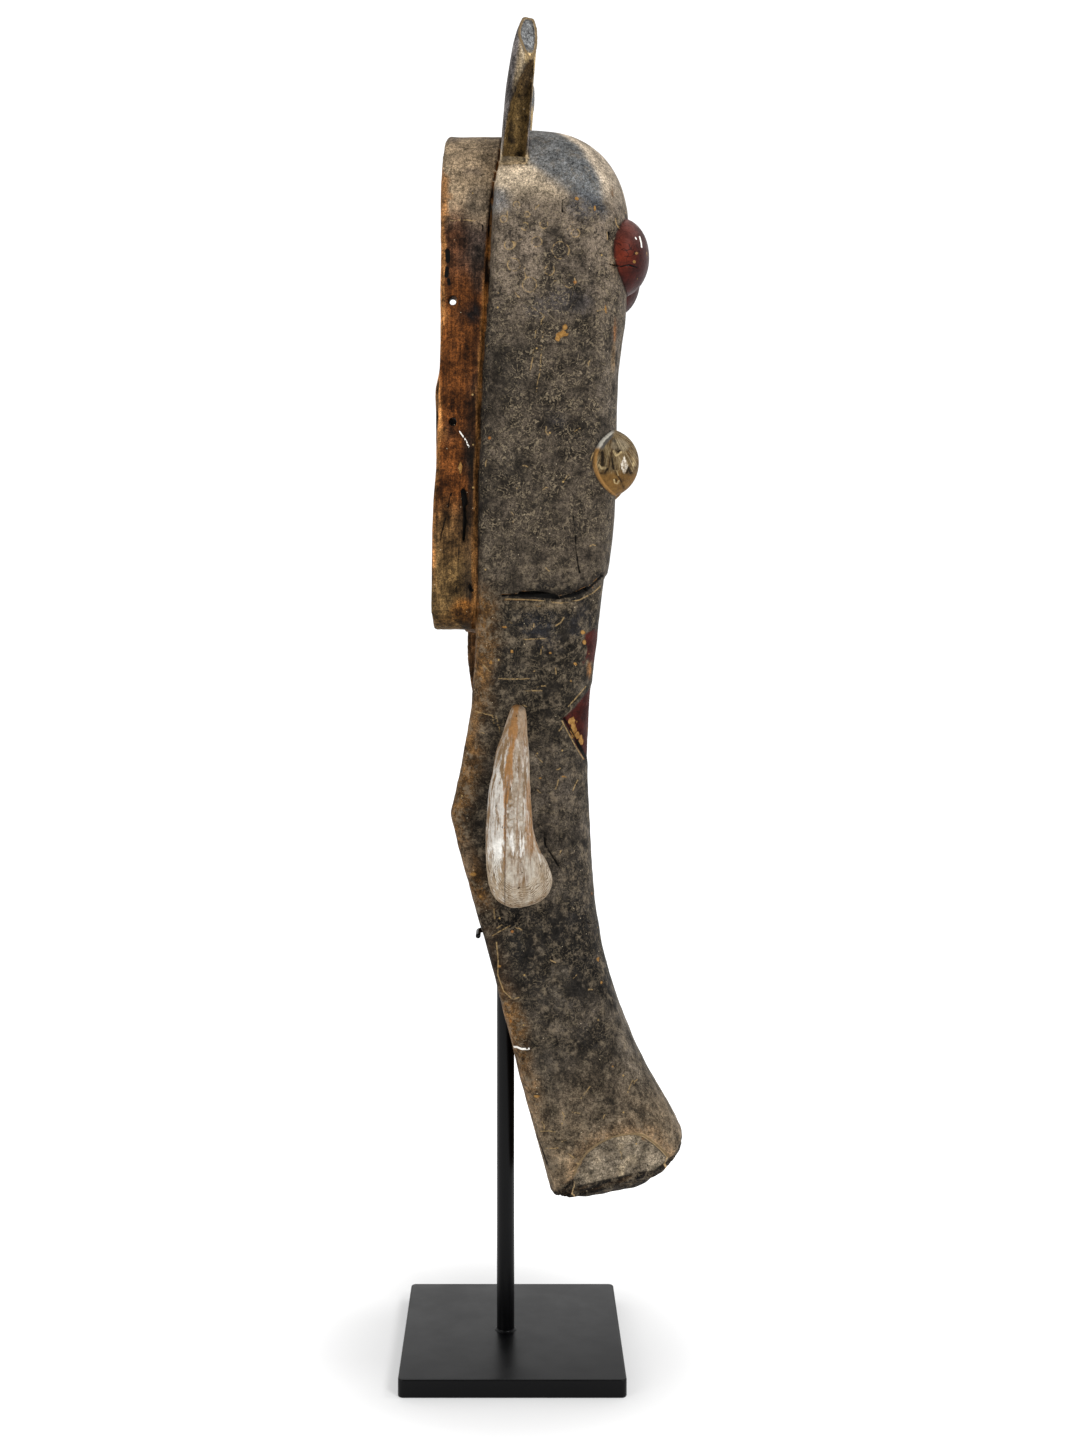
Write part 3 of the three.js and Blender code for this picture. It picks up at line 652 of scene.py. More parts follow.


# Marks on the near side: half width, depth and a line of (x, z) points. Black is painted along them: on the
# blots it is stain, in the cracks painted shade, and along the jaw and chevron painted shadow under their
# overhanging edges.
CRACKS_AND_SHADED_GROOVES = {
    "cheek": (0.5, 1.6, [(42.7, 614.6), (44, 604.3), (44.7, 591.2), (46, 581.9), (47.4, 575.4)]),
    "forehead": (0.6, 1.2, [(38, 837.2), (35, 835.3), (34.6, 826.9), (36.5, 826)]),
    "front_dark": (0.6, 1.2, [(67.3, 813.9), (67.8, 808.2)]),
    "rim": (0.6, 1.8, [(-43, 631.3), (-46.5, 615.9), (-50.7, 598.4)]),
    "rim_hook": (0.5, 1, [(-24.8, 822.2), (-20.6, 820.1), (-21.3, 815.9)]),
    "rim_foot": (0.35, 0.8, [(-37.4, 594.9), (-38, 578), (-39.5, 561.9)]),
    "rim_across": (0.4, 0.8, [(-46, 597), (-40, 598), (-33, 597.5)]),
    "eaten_top": (2.1, 3, [(-34.6, 632.6), (-33.9, 628.6), (-33, 624.5)]),
    "eaten": (1.2, 3, [(-34, 624), (-33.2, 612), (-34.4, 598.8)]),
    "eaten_far": (1.2, 2, [(-30, 566.5), (-28.6, 563)]),
    "jaw": (0.9, 2.8, [(-7.4, 559.2), (6, 559.8), (21, 559.4), (33, 557.4), (42, 559.2), (54, 564.4),
                       (64, 573.5)]),
    "jaw_open": (2.1, 4.5, [(6, 560.4), (15, 560.6), (30, 558.8)]),
    "jaw_front": (1.4, 3.4, [(22, 559), (33, 557.8), (42, 559.6), (53, 564.4)]),
    "blot_upper": (1.8, 0.3, [(-45.6, 802), (-45.4, 795)]),
    "blot_middle": (1.5, 0.3, [(-45.8, 789.5), (-46.3, 784)]),
    "blot_lower": (1.2, 0.3, [(-44.9, 781.4), (-44.2, 778)]),
    "boss": (0.6, 1, [(68, 791.6), (76, 790.4), (82, 791.6), (88, 790.6)]),
    "chevron_gap": (0.7, 1.6, [(37, 471.5), (43, 461.5), (48, 451.5)]),
    "chevron_open": (1.2, 2.2, [(46.5, 454.5), (49.5, 448.2), (53.5, 441)]),
    "tusk_root": (0.6, 1, [(22.5, 389.5), (23.6, 380.8), (28.4, 373.1), (33.3, 365.3)]),
    "trunk_middle": (0.7, 1, [(31.4, 242.9), (32.7, 237.7)]),
    "trunk_front": (0.5, 0.8, [(51.9, 325.7), (55.7, 321.9), (61.5, 321.3)]),
    "tip_left": (0.5, 0.8, [(17.5, 168), (21, 160), (25, 149.5)]),
}
SCRATCHES_AND_LIP_HIGHLIGHT = [
    [(-10, 500.6), (-0.9, 500.2), (12, 500.6)], [(-26.5, 477.3), (-19.9, 475.4), (-13.8, 474.2)],
    [(-14.2, 473.8), (-13, 468.1)], [(-11.7, 473.8), (-8.5, 462.3)], [(8.6, 492), (20.9, 492)],
    [(4.8, 528.2), (23.7, 529.2)], [(8.6, 525.4), (9.5, 521.6)],
    [(-14.3, 315.5), (-8.6, 319), (-1.8, 322.8)], [(-8.5, 335.8), (-13.3, 334.8), (-12.4, 327.7)],
    [(-11.4, 311.2), (-10.1, 297.7), (-10.5, 287.1), (-6.3, 275.6), (0.1, 269.8), (4.9, 271.2)],
    [(20.2, 173.6), (25.6, 175.5), (31, 175.1)], [(24, 161.8), (33.6, 163.7)],
    [(40.3, 159.9), (45.1, 156.1)], [(55.8, 207.4), (49, 198.9)],
    [(-37.4, 654.5), (-38.1, 648.9), (-36, 647.5)], [(21.4, 744), (19.3, 716), (16.5, 700.5)],
    [(16.5, 744.4), (14.4, 726.3), (12.3, 714.5)], [(-43.7, 823.6), (-34, 824.2), (-25.5, 823.4)],
    [(35.3, 470.3), (41, 459.3), (46.2, 449.8), (51.4, 441.2)], [(52.9, 494.2), (39.9, 480.5)],
    # Painted highlight along the lit lip below the jaw groove
    [(-5, 557), (8, 556.6), (16, 556.2), (34, 554), (47.5, 556.2), (58, 561.5), (63, 566)],
]
# Pale rings of crust, most of them on the forehead: x, z and radius
RINGS = [
    (-2.3, 803.7, 3.2), (8.8, 816.7, 2.6), (10.3, 825.1, 2), (33.6, 800, 6), (1, 790, 4.4),
    (17, 806, 3.6), (22, 818, 2.8), (12, 776, 5), (26, 786, 3.4), (44, 812, 3), (-6, 822, 2.4),
    (3, 832, 2.2), (40, 778, 4),
]
# Bits of thread, and painted highlights that stand for glints on the near boss: half width and a line of
# (x, z) points
THREADS_AND_PAINTED_GLINTS = [
    (0.55, [(1.4, 234.4), (3.3, 235), (6.8, 234), (12, 234.4)]),
    (0.35, [(-37, 674.5), (-33, 669), (-30.4, 663.6)]),
    # Painted highlights: the two glints on the near boss
    (0.35, [(89.8, 812.6), (90.9, 808.4), (91.2, 805)]), (0.3, [(86.6, 811.2), (87.2, 810)]),
]
# Chips down to bare wood: x, z, half width and half height
CHIPS = [
    (35, 741.5, 4.4, 2.2), (32.2, 738.2, 2, 2.4), (36.5, 746, 1.4, 3), (85.6, 793.9, 1, 1),
    (18, 552.2, 3, 1.1), (57.9, 829.3, 0.9, 1.6), (44.9, 836.3, 1, 1), (42.4, 469.5, 3, 2.2),
    (43.6, 464, 2, 5), (46.4, 458.5, 1.6, 2), (49.2, 454, 1.6, 3.4), (19.5, 429.2, 1.4, 0.8),
    (36.3, 430, 1.6, 1), (41.8, 498.7, 1, 1.2), (-5, 537.1, 2, 0.7), (-0.3, 520.1, 1, 0.8),
    (-15.1, 512.1, 1, 1), (26.9, 518.7, 1, 0.8), (50.1, 533, 1, 1.4), (51.1, 526.3, 1.2, 1.4),
    (44.6, 511.1, 1.2, 1), (-28.6, 359.6, 1.8, 1), (-22, 349.9, 1.2, 1), (-22.9, 343.7, 1, 1),
    (64.4, 279.4, 0.9, 1.2), (62.1, 295.8, 0.9, 1.2), (-8.6, 293.5, 1.2, 0.8), (72.1, 220.8, 1.2, 1),
    (17.4, 199.8, 1.4, 0.8), (18.3, 205.5, 1.2, 0.8), (65.4, 758.7, 0.6, 2), (-36.5, 648, 1, 4),
]
# Soft stains and painted light: x, z, half width, half height, colour and strength. The pale band at (20,
# 552.5) is a painted highlight along the lip below the jaw groove, the dark patch at (-33, 539) is painted
# shade where the rim's foot turns under, and the patches at z 564 make a dark band just above the jaw line.
STAINS_AND_PAINTED_LIGHT = [
    (-24, 838, 8, 11, "#3a3530", 0.6), (-23, 790, 6, 16, "#26211d", 0.7),
    (-27.5, 757, 5.5, 7, "#0f0f10", 0.95), (-30, 660, 4.5, 12, "#17120e", 0.75),
    (-29, 640, 4, 20, "#1c1610", 0.7), (-33, 611, 5, 22, "#241c13", 0.6),
    (-33, 548, 10, 8, "#6b4218", 0.8), (-33, 539, 6, 2.6, "#120d08", 0.9),
    (-50, 541, 12, 4, "#3a2814", 0.6), (-29, 566, 4, 12, "#1c1610", 0.6),
    (40, 765, 22, 9, "#26262a", 0.6), (16, 760, 10, 9, "#2b2a2b", 0.5),
    (50, 831, 16, 10, "#33363c", 0.6), (31, 680, 9, 12, "#1b1a1b", 0.75),
    (17, 588, 5, 4, "#15120f", 0.75), (16, 540, 16, 9, "#1d1e22", 0.7),
    (47, 542, 9, 16, "#18181b", 0.7), (24, 526, 14, 8, "#1c1b1d", 0.6),
    (-1.8, 324.4, 9, 6, "#0c0a09", 0.85), (8, 305, 13, 9, "#121110", 0.7),
    (57, 243, 14, 10, "#1e1c1b", 0.5), (24, 240, 20, 12, "#2a241c", 0.4),
    (34, 799, 8, 10, "#2f2925", 0.6), (60, 190, 18, 14, "#2b2723", 0.35),
    (-36, 545, 16, 6, "#3c2810", 0.5), (38, 272, 20, 14, "#1c1a18", 0.5),
    (45, 345, 10, 30, "#201e1d", 0.45), (-10, 470, 12, 22, "#231e18", 0.4),
    (24, 564, 18, 5, "#12100f", 0.85), (44, 564, 10, 6, "#141210", 0.75),
    (20, 552.5, 24, 3, "#5d5140", 0.7), (55.4, 507, 2.4, 6.5, "#7d5428", 0.95),
    (72.2, 747, 1.4, 8, "#6d4420", 0.8), (71.6, 728, 1.5, 10, "#5d4a33", 0.8),
    (26, 900, 12, 5, "#6a5348", 0.6), (70.4, 843.5, 1.1, 3.4, "#57391c", 0.9),
    (72, 795, 5, 16, "#5d4a33", 0.3), (75, 772, 3, 10, "#4a4038", 0.6),
]
RANDOM_SCRATCHES = 60
SCRATCH_AND_HIGHLIGHT_HALF_WIDTH = 0.3

# Paint of the near eye, mirrored to the far one: half width and a line of (x, z) points
EYE_DARK = [
    (1.2, [(62.7, 659), (62.9, 654.6), (62.5, 650.8)]), (0.6, [(58.4, 665.5), (58.2, 661)]),
    (0.3, [(69.2, 660.5), (69.3, 656)]), (0.7, [(69.3, 655.5), (69.8, 651.5), (70.6, 647.6)]),
    (0.3, [(70.6, 647.6), (72.3, 644.7), (75.2, 641.2), (78.4, 635.4)]),
    (0.35, [(67.3, 654.6), (67.9, 652.3)]), (0.5, [(72.3, 660.9), (73.4, 659.5), (75.2, 660.6)]),
    (0.7, [(61, 644.9), (64.1, 644.4), (66.4, 647.8)]),
    (0.7, [(79.8, 644.9), (81.6, 648.8), (82.7, 645.2), (84.2, 645.6)]),
    (0.5, [(63, 632.2), (63.5, 632.2)]), (0.5, [(65.3, 628.4), (65.9, 628.4)]),
    (0.3, [(72.2, 640.4), (72.5, 639.8)]),
]
EYE_LIGHT = [
    (0.5, [(60.3, 650.4), (62.1, 647.8), (64.7, 648.4)]),
    (0.6, [(70.6, 660), (72.3, 656.9), (74.6, 658.1), (76, 659.4)]),
    (0.4, [(71.1, 640.2), (71.6, 638), (73.4, 637.7), (74.6, 639.7)]),
    (0.5, [(85.1, 652.3), (84.8, 650.5)]), (0.35, [(83, 649), (84.2, 646.6)]),
    (0.35, [(72.8, 646.4), (74, 643.4)]),
]
# Patches in the paint, as middle and half sizes in the side view, and the root of the eye's hairs
BOSS_RUST = (77, 799, 10, 13)
EYE_SMUDGE = (71.3, 667.6, 1.9, 1.9)
EYE_LOBE = (75, 664.5, 6.2, 4.6)
EYE_FAN = (70.5, 675)
EYE_DIAMOND = (78.1, 650.2, 2.8, 6.6)

# Middle of the growth rings at the tusk's root
TUSK_RINGS = (4.7, 368.7)


def random_scratches(seed):
    """Short nicks scattered over one side of the carving."""
    dice = np.random.default_rng(seed)
    lines = []
    for _ in range(RANDOM_SCRATCHES):
        z = dice.uniform(140, 860)
        x = dice.uniform(float(rear_edge(z)) + 5, float(front_at(z)) - 8)
        angle, length = dice.uniform(0, math.pi), dice.uniform(2.5, 9)
        bend = dice.uniform(-0.8, 0.8)
        half = 0.5 * length
        line = [(x, z)]
        for direction in (angle, angle + bend):
            x, z = x + half * math.cos(direction), z + half * math.sin(direction)
            line.append((x, z))
        lines.append(line)
    return lines


class Marks:
    """Distances from the cracks and shaded grooves, scratches, painted highlight lines and chips of the
    side on which each point lies.
    """

    def __init__(self, points):
        x, y, z = points.T
        near_side = y < -8
        wander = 0.5 * noise(points, 6, 11) + 0.25 * noise(points, 2.5, 12)
        far = np.full(len(x), FAR)
        self.crack_and_shade, self.depth, self.scratch_and_highlight, self.pale, self.chip = (far.copy() for _ in range(5))
        self.depth[:] = 0
        for name, (half_width, depth, line) in CRACKS_AND_SHADED_GROOVES.items():
            side = near_side | (np.abs(y) > 8 if name in ("jaw", "chevron_gap") else False)
            away = np.where(side, line_distance(x, z, line) + wander * 0.5, FAR) - half_width
            self.depth = np.where(away < self.crack_and_shade, depth, self.depth)
            self.crack_and_shade = np.minimum(self.crack_and_shade, away)
        for side, lines in ((near_side, SCRATCHES_AND_LIP_HIGHLIGHT + random_scratches(5)), (y > 8, random_scratches(6))):
            for line in lines:
                away = np.where(side, line_distance(x, z, line), FAR) - SCRATCH_AND_HIGHLIGHT_HALF_WIDTH
                self.scratch_and_highlight = np.minimum(self.scratch_and_highlight, away)
        for cx, cz, radius in RINGS:
            ring = np.abs(np.hypot(x - cx, z - cz) - radius) - SCRATCH_AND_HIGHLIGHT_HALF_WIDTH
            self.scratch_and_highlight = np.minimum(self.scratch_and_highlight, np.where(near_side, ring, FAR))
        for half_width, line in THREADS_AND_PAINTED_GLINTS:
            away = np.where(near_side, line_distance(x, z, line), FAR) - half_width
            self.pale = np.minimum(self.pale, away)
        ragged = 0.9 * noise(points, 2.6, 13)
        for cx, cz, half_x, half_z in CHIPS:
            size = min(half_x, half_z)
            away = (np.hypot((x - cx) / half_x, (z - cz) / half_z) - 1) * size + ragged * min(size, 1.4)
            self.chip = np.minimum(self.chip, np.where(near_side, away, FAR))

    def nearest(self):
        """Distance from the nearest mark of any kind."""
        return np.minimum(np.minimum(self.crack_and_shade, self.scratch_and_highlight), np.minimum(self.pale, self.chip))


def extracted(carving):
    """Points and triangles of the carving's surface."""
    level_set = openvdb.FloatGrid(BAND * VOXEL)
    level_set.copyFromArray(carving.field)
    points, triangles, quads = level_set.convertToPolygons(0.0, 0.0)
    halves = np.vstack([triangles, quads[:, [0, 1, 2]], quads[:, [0, 2, 3]]]).astype(np.int32)
    return points.astype(float) * VOXEL + GRID_LOW, halves


def relief(carving, points):
    """Height of the broad unevenness of the carving over each point, in millimetres."""
    inside = sample(carving.parts["hollow"], points) < 2
    on_rim = sample(carving.parts["rim"], points) > 0
    on_end = sample(carving.parts["end"], points) < 1.5
    in_scoop = sample(carving.parts["scoop"], points) < 1
    boss, eye = (sample(carving.parts[name], points) for name in ("boss", "eye"))
    on_ball = np.maximum(boss, eye) > -1
    lumpy = 0.75 + 0.6 * smooth_step(560, 480, points[:, 2])
    height = 0.5 * noise(points, 42, 1) + 0.32 * noise(points, 15, 2) + 0.16 * noise(points, 5.5, 3)
    height = np.where(on_ball, 0.15 * noise(points, 12, 4), lumpy * height)
    height += np.where(on_rim & ~inside, 0.3 * noise(points, 5, 5, (1, 1, 7)), 0)
    height += np.where(inside, 1.1 * gouges(points, (13, 13, 34), 6) - 0.5, 0)
    height += np.where(in_scoop, 0.7 * noise(points, 4, 7) + 0.4 * noise(points, 2.2, 8), 0)
    depth_in_end = -sample(carving.parts["block"], points)
    layers = np.sin(2 * np.pi * depth_in_end / 4.2 + 2.2 * noise(points, 18, 9))
    height = np.where((sample(carving.parts["ear"], points) > 0) & ~in_scoop, 0.35 * height, height)
    height += np.where(on_end, 0.7 * layers + 0.5 * noise(points, 6, 10), 0)
    return height


def mesh_from(name, points, faces):
    """Mesh over points in millimetres."""
    mesh = bpy.data.meshes.new(name)
    mesh.from_pydata(points * MM, [], faces)
    mesh.validate()
    mesh.update()
    return mesh


def largest_body(points, faces):
    """The faces that hang together with the most others, with their points."""
    label = np.arange(len(points))
    while True:
        lowest = label[faces].min(axis=1)
        renewed = label.copy()
        for corner in range(3):
            np.minimum.at(renewed, faces[:, corner], lowest)
        renewed = renewed[renewed]
        if (renewed == label).all():
            break
        label = renewed
    body = np.bincount(label[faces[:, 0]]).argmax()
    faces = faces[label[faces[:, 0]] == body]
    used, faces = np.unique(faces, return_inverse=True)
    return points[used], faces.reshape(-1, 3)


def decimated(mesh, triangles):
    """The mesh with fewer triangles, kept where the shape bends."""
    holder = bpy.data.objects.new(mesh.name, mesh)
    bpy.context.scene.collection.objects.link(holder)
    modifier = holder.modifiers.new("fewer", "DECIMATE")
    modifier.ratio = triangles / len(mesh.polygons)
    modifier.use_collapse_triangulate = True
    evaluated = holder.evaluated_get(bpy.context.evaluated_depsgraph_get())
    result = bpy.data.meshes.new_from_object(evaluated)
    bpy.data.objects.remove(holder)
    return result


def edge_ends(mesh):
    """Numbers of the points at the two ends of each edge."""
    ends = np.zeros(len(mesh.edges) * 2, np.int32)
    mesh.edges.foreach_get("vertices", ends)
    return ends[0::2], ends[1::2]


def coordinates(mesh):
    """Places of a mesh's points in millimetres."""
    flat = np.zeros(len(mesh.vertices) * 3, np.float32)
    mesh.vertices.foreach_get("co", flat)
    return flat.reshape(-1, 3).astype(float) / MM


def edge_distance(carving, name, points):
    """Distance along the surface from the outline of a cut, negative on the face it made."""
    cutter, body = carving.parts[name], carving.parts["before_" + name]
    angle = np.linalg.norm(np.cross(slopes(cutter, points), slopes(body, points)), axis=1)
    return (sample(cutter, points) + sample(body, points)) / np.maximum(angle, 0.2)


def settled(carving, points):
    """Points brought back from the uneven surface onto the plain shape."""
    return points - slopes(carving.field, points) * sample(carving.field, points)[:, None]


def refined(mesh, carving):
    """The mesh with its edges split near marks, round the facets and on the eyes."""
    for longest in EDGE_LENGTHS:
        points = coordinates(mesh)
        a, b = (points[end] for end in edge_ends(mesh))
        length = np.linalg.norm(a - b, axis=1)
        middle = (a + b) / 2
        to_mark = Marks(middle).nearest() - 0.4
        on_plain = settled(carving, middle)
        for name in ("tip_facet", "ear_facet", "end"):
            to_mark = np.minimum(to_mark, np.abs(edge_distance(carving, name, on_plain)) - 1)
        to_mark = np.where(sample(carving.parts["eye"], middle) > -1, -1, to_mark)
        chosen = (length > longest) & (to_mark < 0.5 * length)
        shape = bmesh.new()
        shape.from_mesh(mesh)
        shape.edges.ensure_lookup_table()
        bmesh.ops.subdivide_edges(shape, edges=[shape.edges[i] for i in np.flatnonzero(chosen)], cuts=1)
        bmesh.ops.triangulate(shape, faces=[f for f in shape.faces if len(f.verts) > 3])
        shape.to_mesh(mesh)
        shape.free()
    return mesh


def engrave(mesh, carving):
    """Sinks the cracks and grooves, the scratches and the line of the lip's painted highlight, and the
    chips into the mesh.
    """
    points = coordinates(mesh)
    marks = Marks(points)
    sunk = marks.depth * smooth_step(0.6, -0.6, marks.crack_and_shade)
    sunk += 0.25 * smooth_step(0.3, -0.3, marks.scratch_and_highlight)
    sunk += 0.5 * smooth_step(0.5, -0.5, marks.chip)
    sunk -= 0.4 * smooth_step(0.4, -0.4, marks.pale)
    on_plain = settled(carving, points)
    above_end = smooth_step(0, 4, edge_distance(carving, "end", on_plain))
    for name in ("tip_facet", "ear_facet"):
        outline = edge_distance(carving, name, on_plain)
        cut = 0.9 * smooth_step(0.2, -1.4, outline) - 0.8 * smooth_step(1.7, 0.6, np.abs(outline))
        sunk += cut * above_end
    on_eye = sample(carving.parts["eye"], points) > 0
    dark, light = strokes(points, EYE_DARK), strokes(points, EYE_LIGHT)
    painted = 0.7 * smooth_step(0.6, -0.6, dark) - 0.4 * smooth_step(0.5, -0.5, light)
    sunk += np.where(on_eye, painted, 0)
    moved = points - slopes(carving.field, points) * sunk[:, None]
    low, high = np.array(cad_low) / MM, np.array(cad_high) / MM
    moved = np.clip(moved, low, high)
    mesh.vertices.foreach_set("co", (moved * MM).astype(np.float32).ravel())
    mesh.update()


def bending(mesh, points):
    """How sharply the surface bends at each point: above 0 on edges, below 0 in corners."""
    a, b = edge_ends(mesh)
    normals = np.zeros(len(points) * 3, np.float32)
    mesh.vertex_normals.foreach_get("vector", normals)
    normals = normals.reshape(-1, 3)
    between = points[b] - points[a]
    length2 = np.maximum((between ** 2).sum(axis=1), 0.04)
    bend = ((normals[b] - normals[a]) * between).sum(axis=1) / length2
    total, count = np.zeros(len(points)), np.zeros(len(points))
    for end in (a, b):
        np.add.at(total, end, bend)
        np.add.at(count, end, 1)
    value = total / np.maximum(count, 1)
    for _ in range(2):
        spread, weight = value.copy(), np.ones(len(points))
        np.add.at(spread, a, value[b])
        np.add.at(spread, b, value[a])
        np.add.at(weight, a, 1)
        np.add.at(weight, b, 1)
        value = spread / weight
    return value


def linear(colour):
    """A written colour as the linear red, green and blue that shaders use."""
    parts = [int(colour[i:i + 2], 16) / 255 for i in (1, 3, 5)]
    return tuple(c / 12.92 if c <= 0.04045 else ((c + 0.055) / 1.055) ** 2.4 for c in parts)


def shaded(base, colour, share):
    """Base colours drawn towards a colour by a share for each point."""
    share = np.clip(share, 0, 1)[:, None]
    return base * (1 - share) + np.array(linear(colour)) * share


def even_tone(points, colour):
    """The same colour for each point."""
    return np.tile(np.array(linear(colour)), (len(points), 1))


def on_ears(part, z):
    """Which points lie on the ears."""
    return (part["ear"] > -0.5) & (z > EAR_FOOT_Z - 2)


def with_stains_and_painted_light(tone, points, drift):
    """Base colours with the stains of the near side, a painted highlight along the lip below the jaw and
    painted shade at the rim's foot.
    """
    x, y, z = points.T
    for cx, cz, half_x, half_z, colour, strength in STAINS_AND_PAINTED_LIGHT:
        away = np.hypot((x - cx) / half_x, (z - cz) / half_z) + 0.06 * drift
        tone = shaded(tone, colour, strength * smooth_step(1.2, 0.6, away) * (y < 0))
    return tone


def ground_tone(part, points):
    """Broad colour of each point, before grain, crust and wear."""
    x, y, z = points.T
    drift = 5 * noise(points, 30, 21) + 3 * noise(points, 12, 22)
    tone = trunk_tone(part, points, drift, head_tone(points, drift))
    tone = with_stains_and_painted_light(tone, points, drift)
    tone = np.where((part["rim"] > 0)[:, None], rim_tone(points, drift), tone)
    tone = np.where(on_ears(part, z)[:, None], ear_tone(part, points), tone)
    tone = shaded(tone, "#5a3f26", smooth_step(3.5, 1, part["hollow"]))
    # Painted shade on the far wall inside the hollow, seen through the lower tie hole
    shade_behind_tie_hole = smooth_step(17, 11, np.hypot(x + 47, z - 695.5)) * (y > 0) * (part["hollow"] < 4)
    tone = shaded(tone, "#0b0806", shade_behind_tie_hole)
    return end_tone(part, points, tone)


def head_tone(points, drift):
    """Colour of the head: grey-brown, tan under the ears that lightens upwards partly as painted light from
    above, blue-grey over the crown, and a pale strip down the dome's front that is partly painted
    highlight.
    """
    x, _, z = points.T
    from_front, from_rear = front_at(z) - x, x - rear_edge(z)
    tone = even_tone(points, "#39322a")
    tone = shaded(tone, "#61564a", smooth_step(740, 800, z + drift * 2) * 0.9)
    # Tan under the ears, lighter towards the crown: tan paint, partly lightened as painted light falling
    # from above
    tan = smooth_step(828, 846, z + drift) * smooth_step(62, 34, x + drift)
    tone = shaded(tone, "#8f806b", tan * 0.8)
    tone = shaded(tone, "#b5a48c", smooth_step(838, 854, z + drift) * smooth_step(30, 12, x + drift))
    grey = smooth_step(848, 838, z + drift) * smooth_step(822, 834, z)
    tone = shaded(tone, "#6a6866", grey * smooth_step(2, -8, x))
    over_diagonal = (z - 857) * 0.85 + (x - 12) * 0.55
    blue = smooth_step(-3, 4, over_diagonal + drift) * smooth_step(15, 22, from_front + 0.5 * drift)
    tone = shaded(tone, "#585b5d", blue * 0.92)
    # Pale tan strip down the dome's front: tan paint, lightened as a painted highlight where light falls
    # from above
    pale = smooth_step(830, 852, z) * smooth_step(24, 15, from_front + 0.6 * drift)
    tone = shaded(tone, "#c6b59e", pale * 0.95)
    brown = smooth_step(640, 700, z) * smooth_step(22, 8, from_front + drift)
    tone = shaded(tone, "#514940", brown * 0.6)
    behind = smooth_step(575, 620, z) * smooth_step(780, 740, z) * smooth_step(6, 2, from_rear)
    return shaded(tone, "#201e1d", behind * 0.7)


def trunk_tone(part, points, drift, tone):
    """Colour of the trunk: brown behind, nearly black below the tusks and lighter at its end."""
    x, _, z = points.T
    from_rear = x - rear_edge(z)
    patch = noise(points, 26, 23)
    trunk = smooth_step(575, 545, z)
    tone = shaded(tone, "#1f1b16", trunk * 0.95)
    tone = shaded(tone, "#644726", trunk * smooth_step(22, 3, from_rear + drift) * 0.9)
    middle = smooth_step(470, 440, z) * smooth_step(10, 30, from_rear)
    tone = shaded(tone, "#433c34", middle * smooth_step(-0.7, 0.5, patch))
    tone = shaded(tone, "#151311", smooth_step(350, 330, z) * smooth_step(255, 290, z) * 0.88)
    tone = shaded(tone, "#6f604d", smooth_step(235, 160, z) * 0.88)
    tone = shaded(tone, "#1a1815", smooth_step(0.25, 0.8, patch) * 0.5)
    haze = noise(points, 17, 24)
    tone = shaded(tone, "#71675a", smooth_step(0.2, 0.9, haze) * smooth_step(560, 520, z) * 0.38)
    on_facet = smooth_step(0.5, -0.5, part["facet_edge"]) * (z < 300)
    tone = shaded(tone, "#746a5b", on_facet * 0.8)
    dark = smooth_step(0, 0.7, noise(points, 8, 36, (1.3, 1, 1)))
    tone = shaded(tone, "#3b342c", on_facet * dark * 0.6)
    pale = smooth_step(0.1, 0.8, noise(points, 6, 37, (1, 1, 1.6)))
    tone = shaded(tone, "#9c8b70", on_facet * pale * 0.6)
    glow = smooth_step(11, 2, part["facet_edge"]) * (part["facet_edge"] > 0) * (z < 190)
    tone = shaded(tone, "#86694a", glow * 0.5)
    beside = smooth_step(10, 22, x - rear_edge(z)) * smooth_step(46, 34, x) * smooth_step(172, 152, z)
    return shaded(tone, "#8f7a5e", beside * (part["facet_edge"] > 0) * 0.6)


def end_tone(part, points, tone):
    """Colour of the end grain below the trunk, layered dark and brown inside a black arris; the near-black
    is partly painted shade on this face that turns down.
    """
    layers = np.sin(2 * np.pi * -part["block"] / 3.4 + 2.5 * noise(points, 20, 9))
    on_end = smooth_step(0.9, -0.3, part["end_edge"]) * (points[:, 2] < 215)
    # Near-black over the end: end grain, and painted shade on the face that turns down
    tone = shaded(tone, "#090706", on_end)
    brown = on_end * smooth_step(0, 0.9, layers) * smooth_step(-14, -3, part["end_edge"])
    tone = shaded(tone, "#3b2c1d", brown * 0.65)
    # Black along the arris: painted shade where the surface turns under
    arris = smooth_step(1.5, 0.5, np.abs(part["end_edge"] - 0.2)) * (points[:, 2] < 215)
    return shaded(tone, "#0d0a08", arris * 0.85)


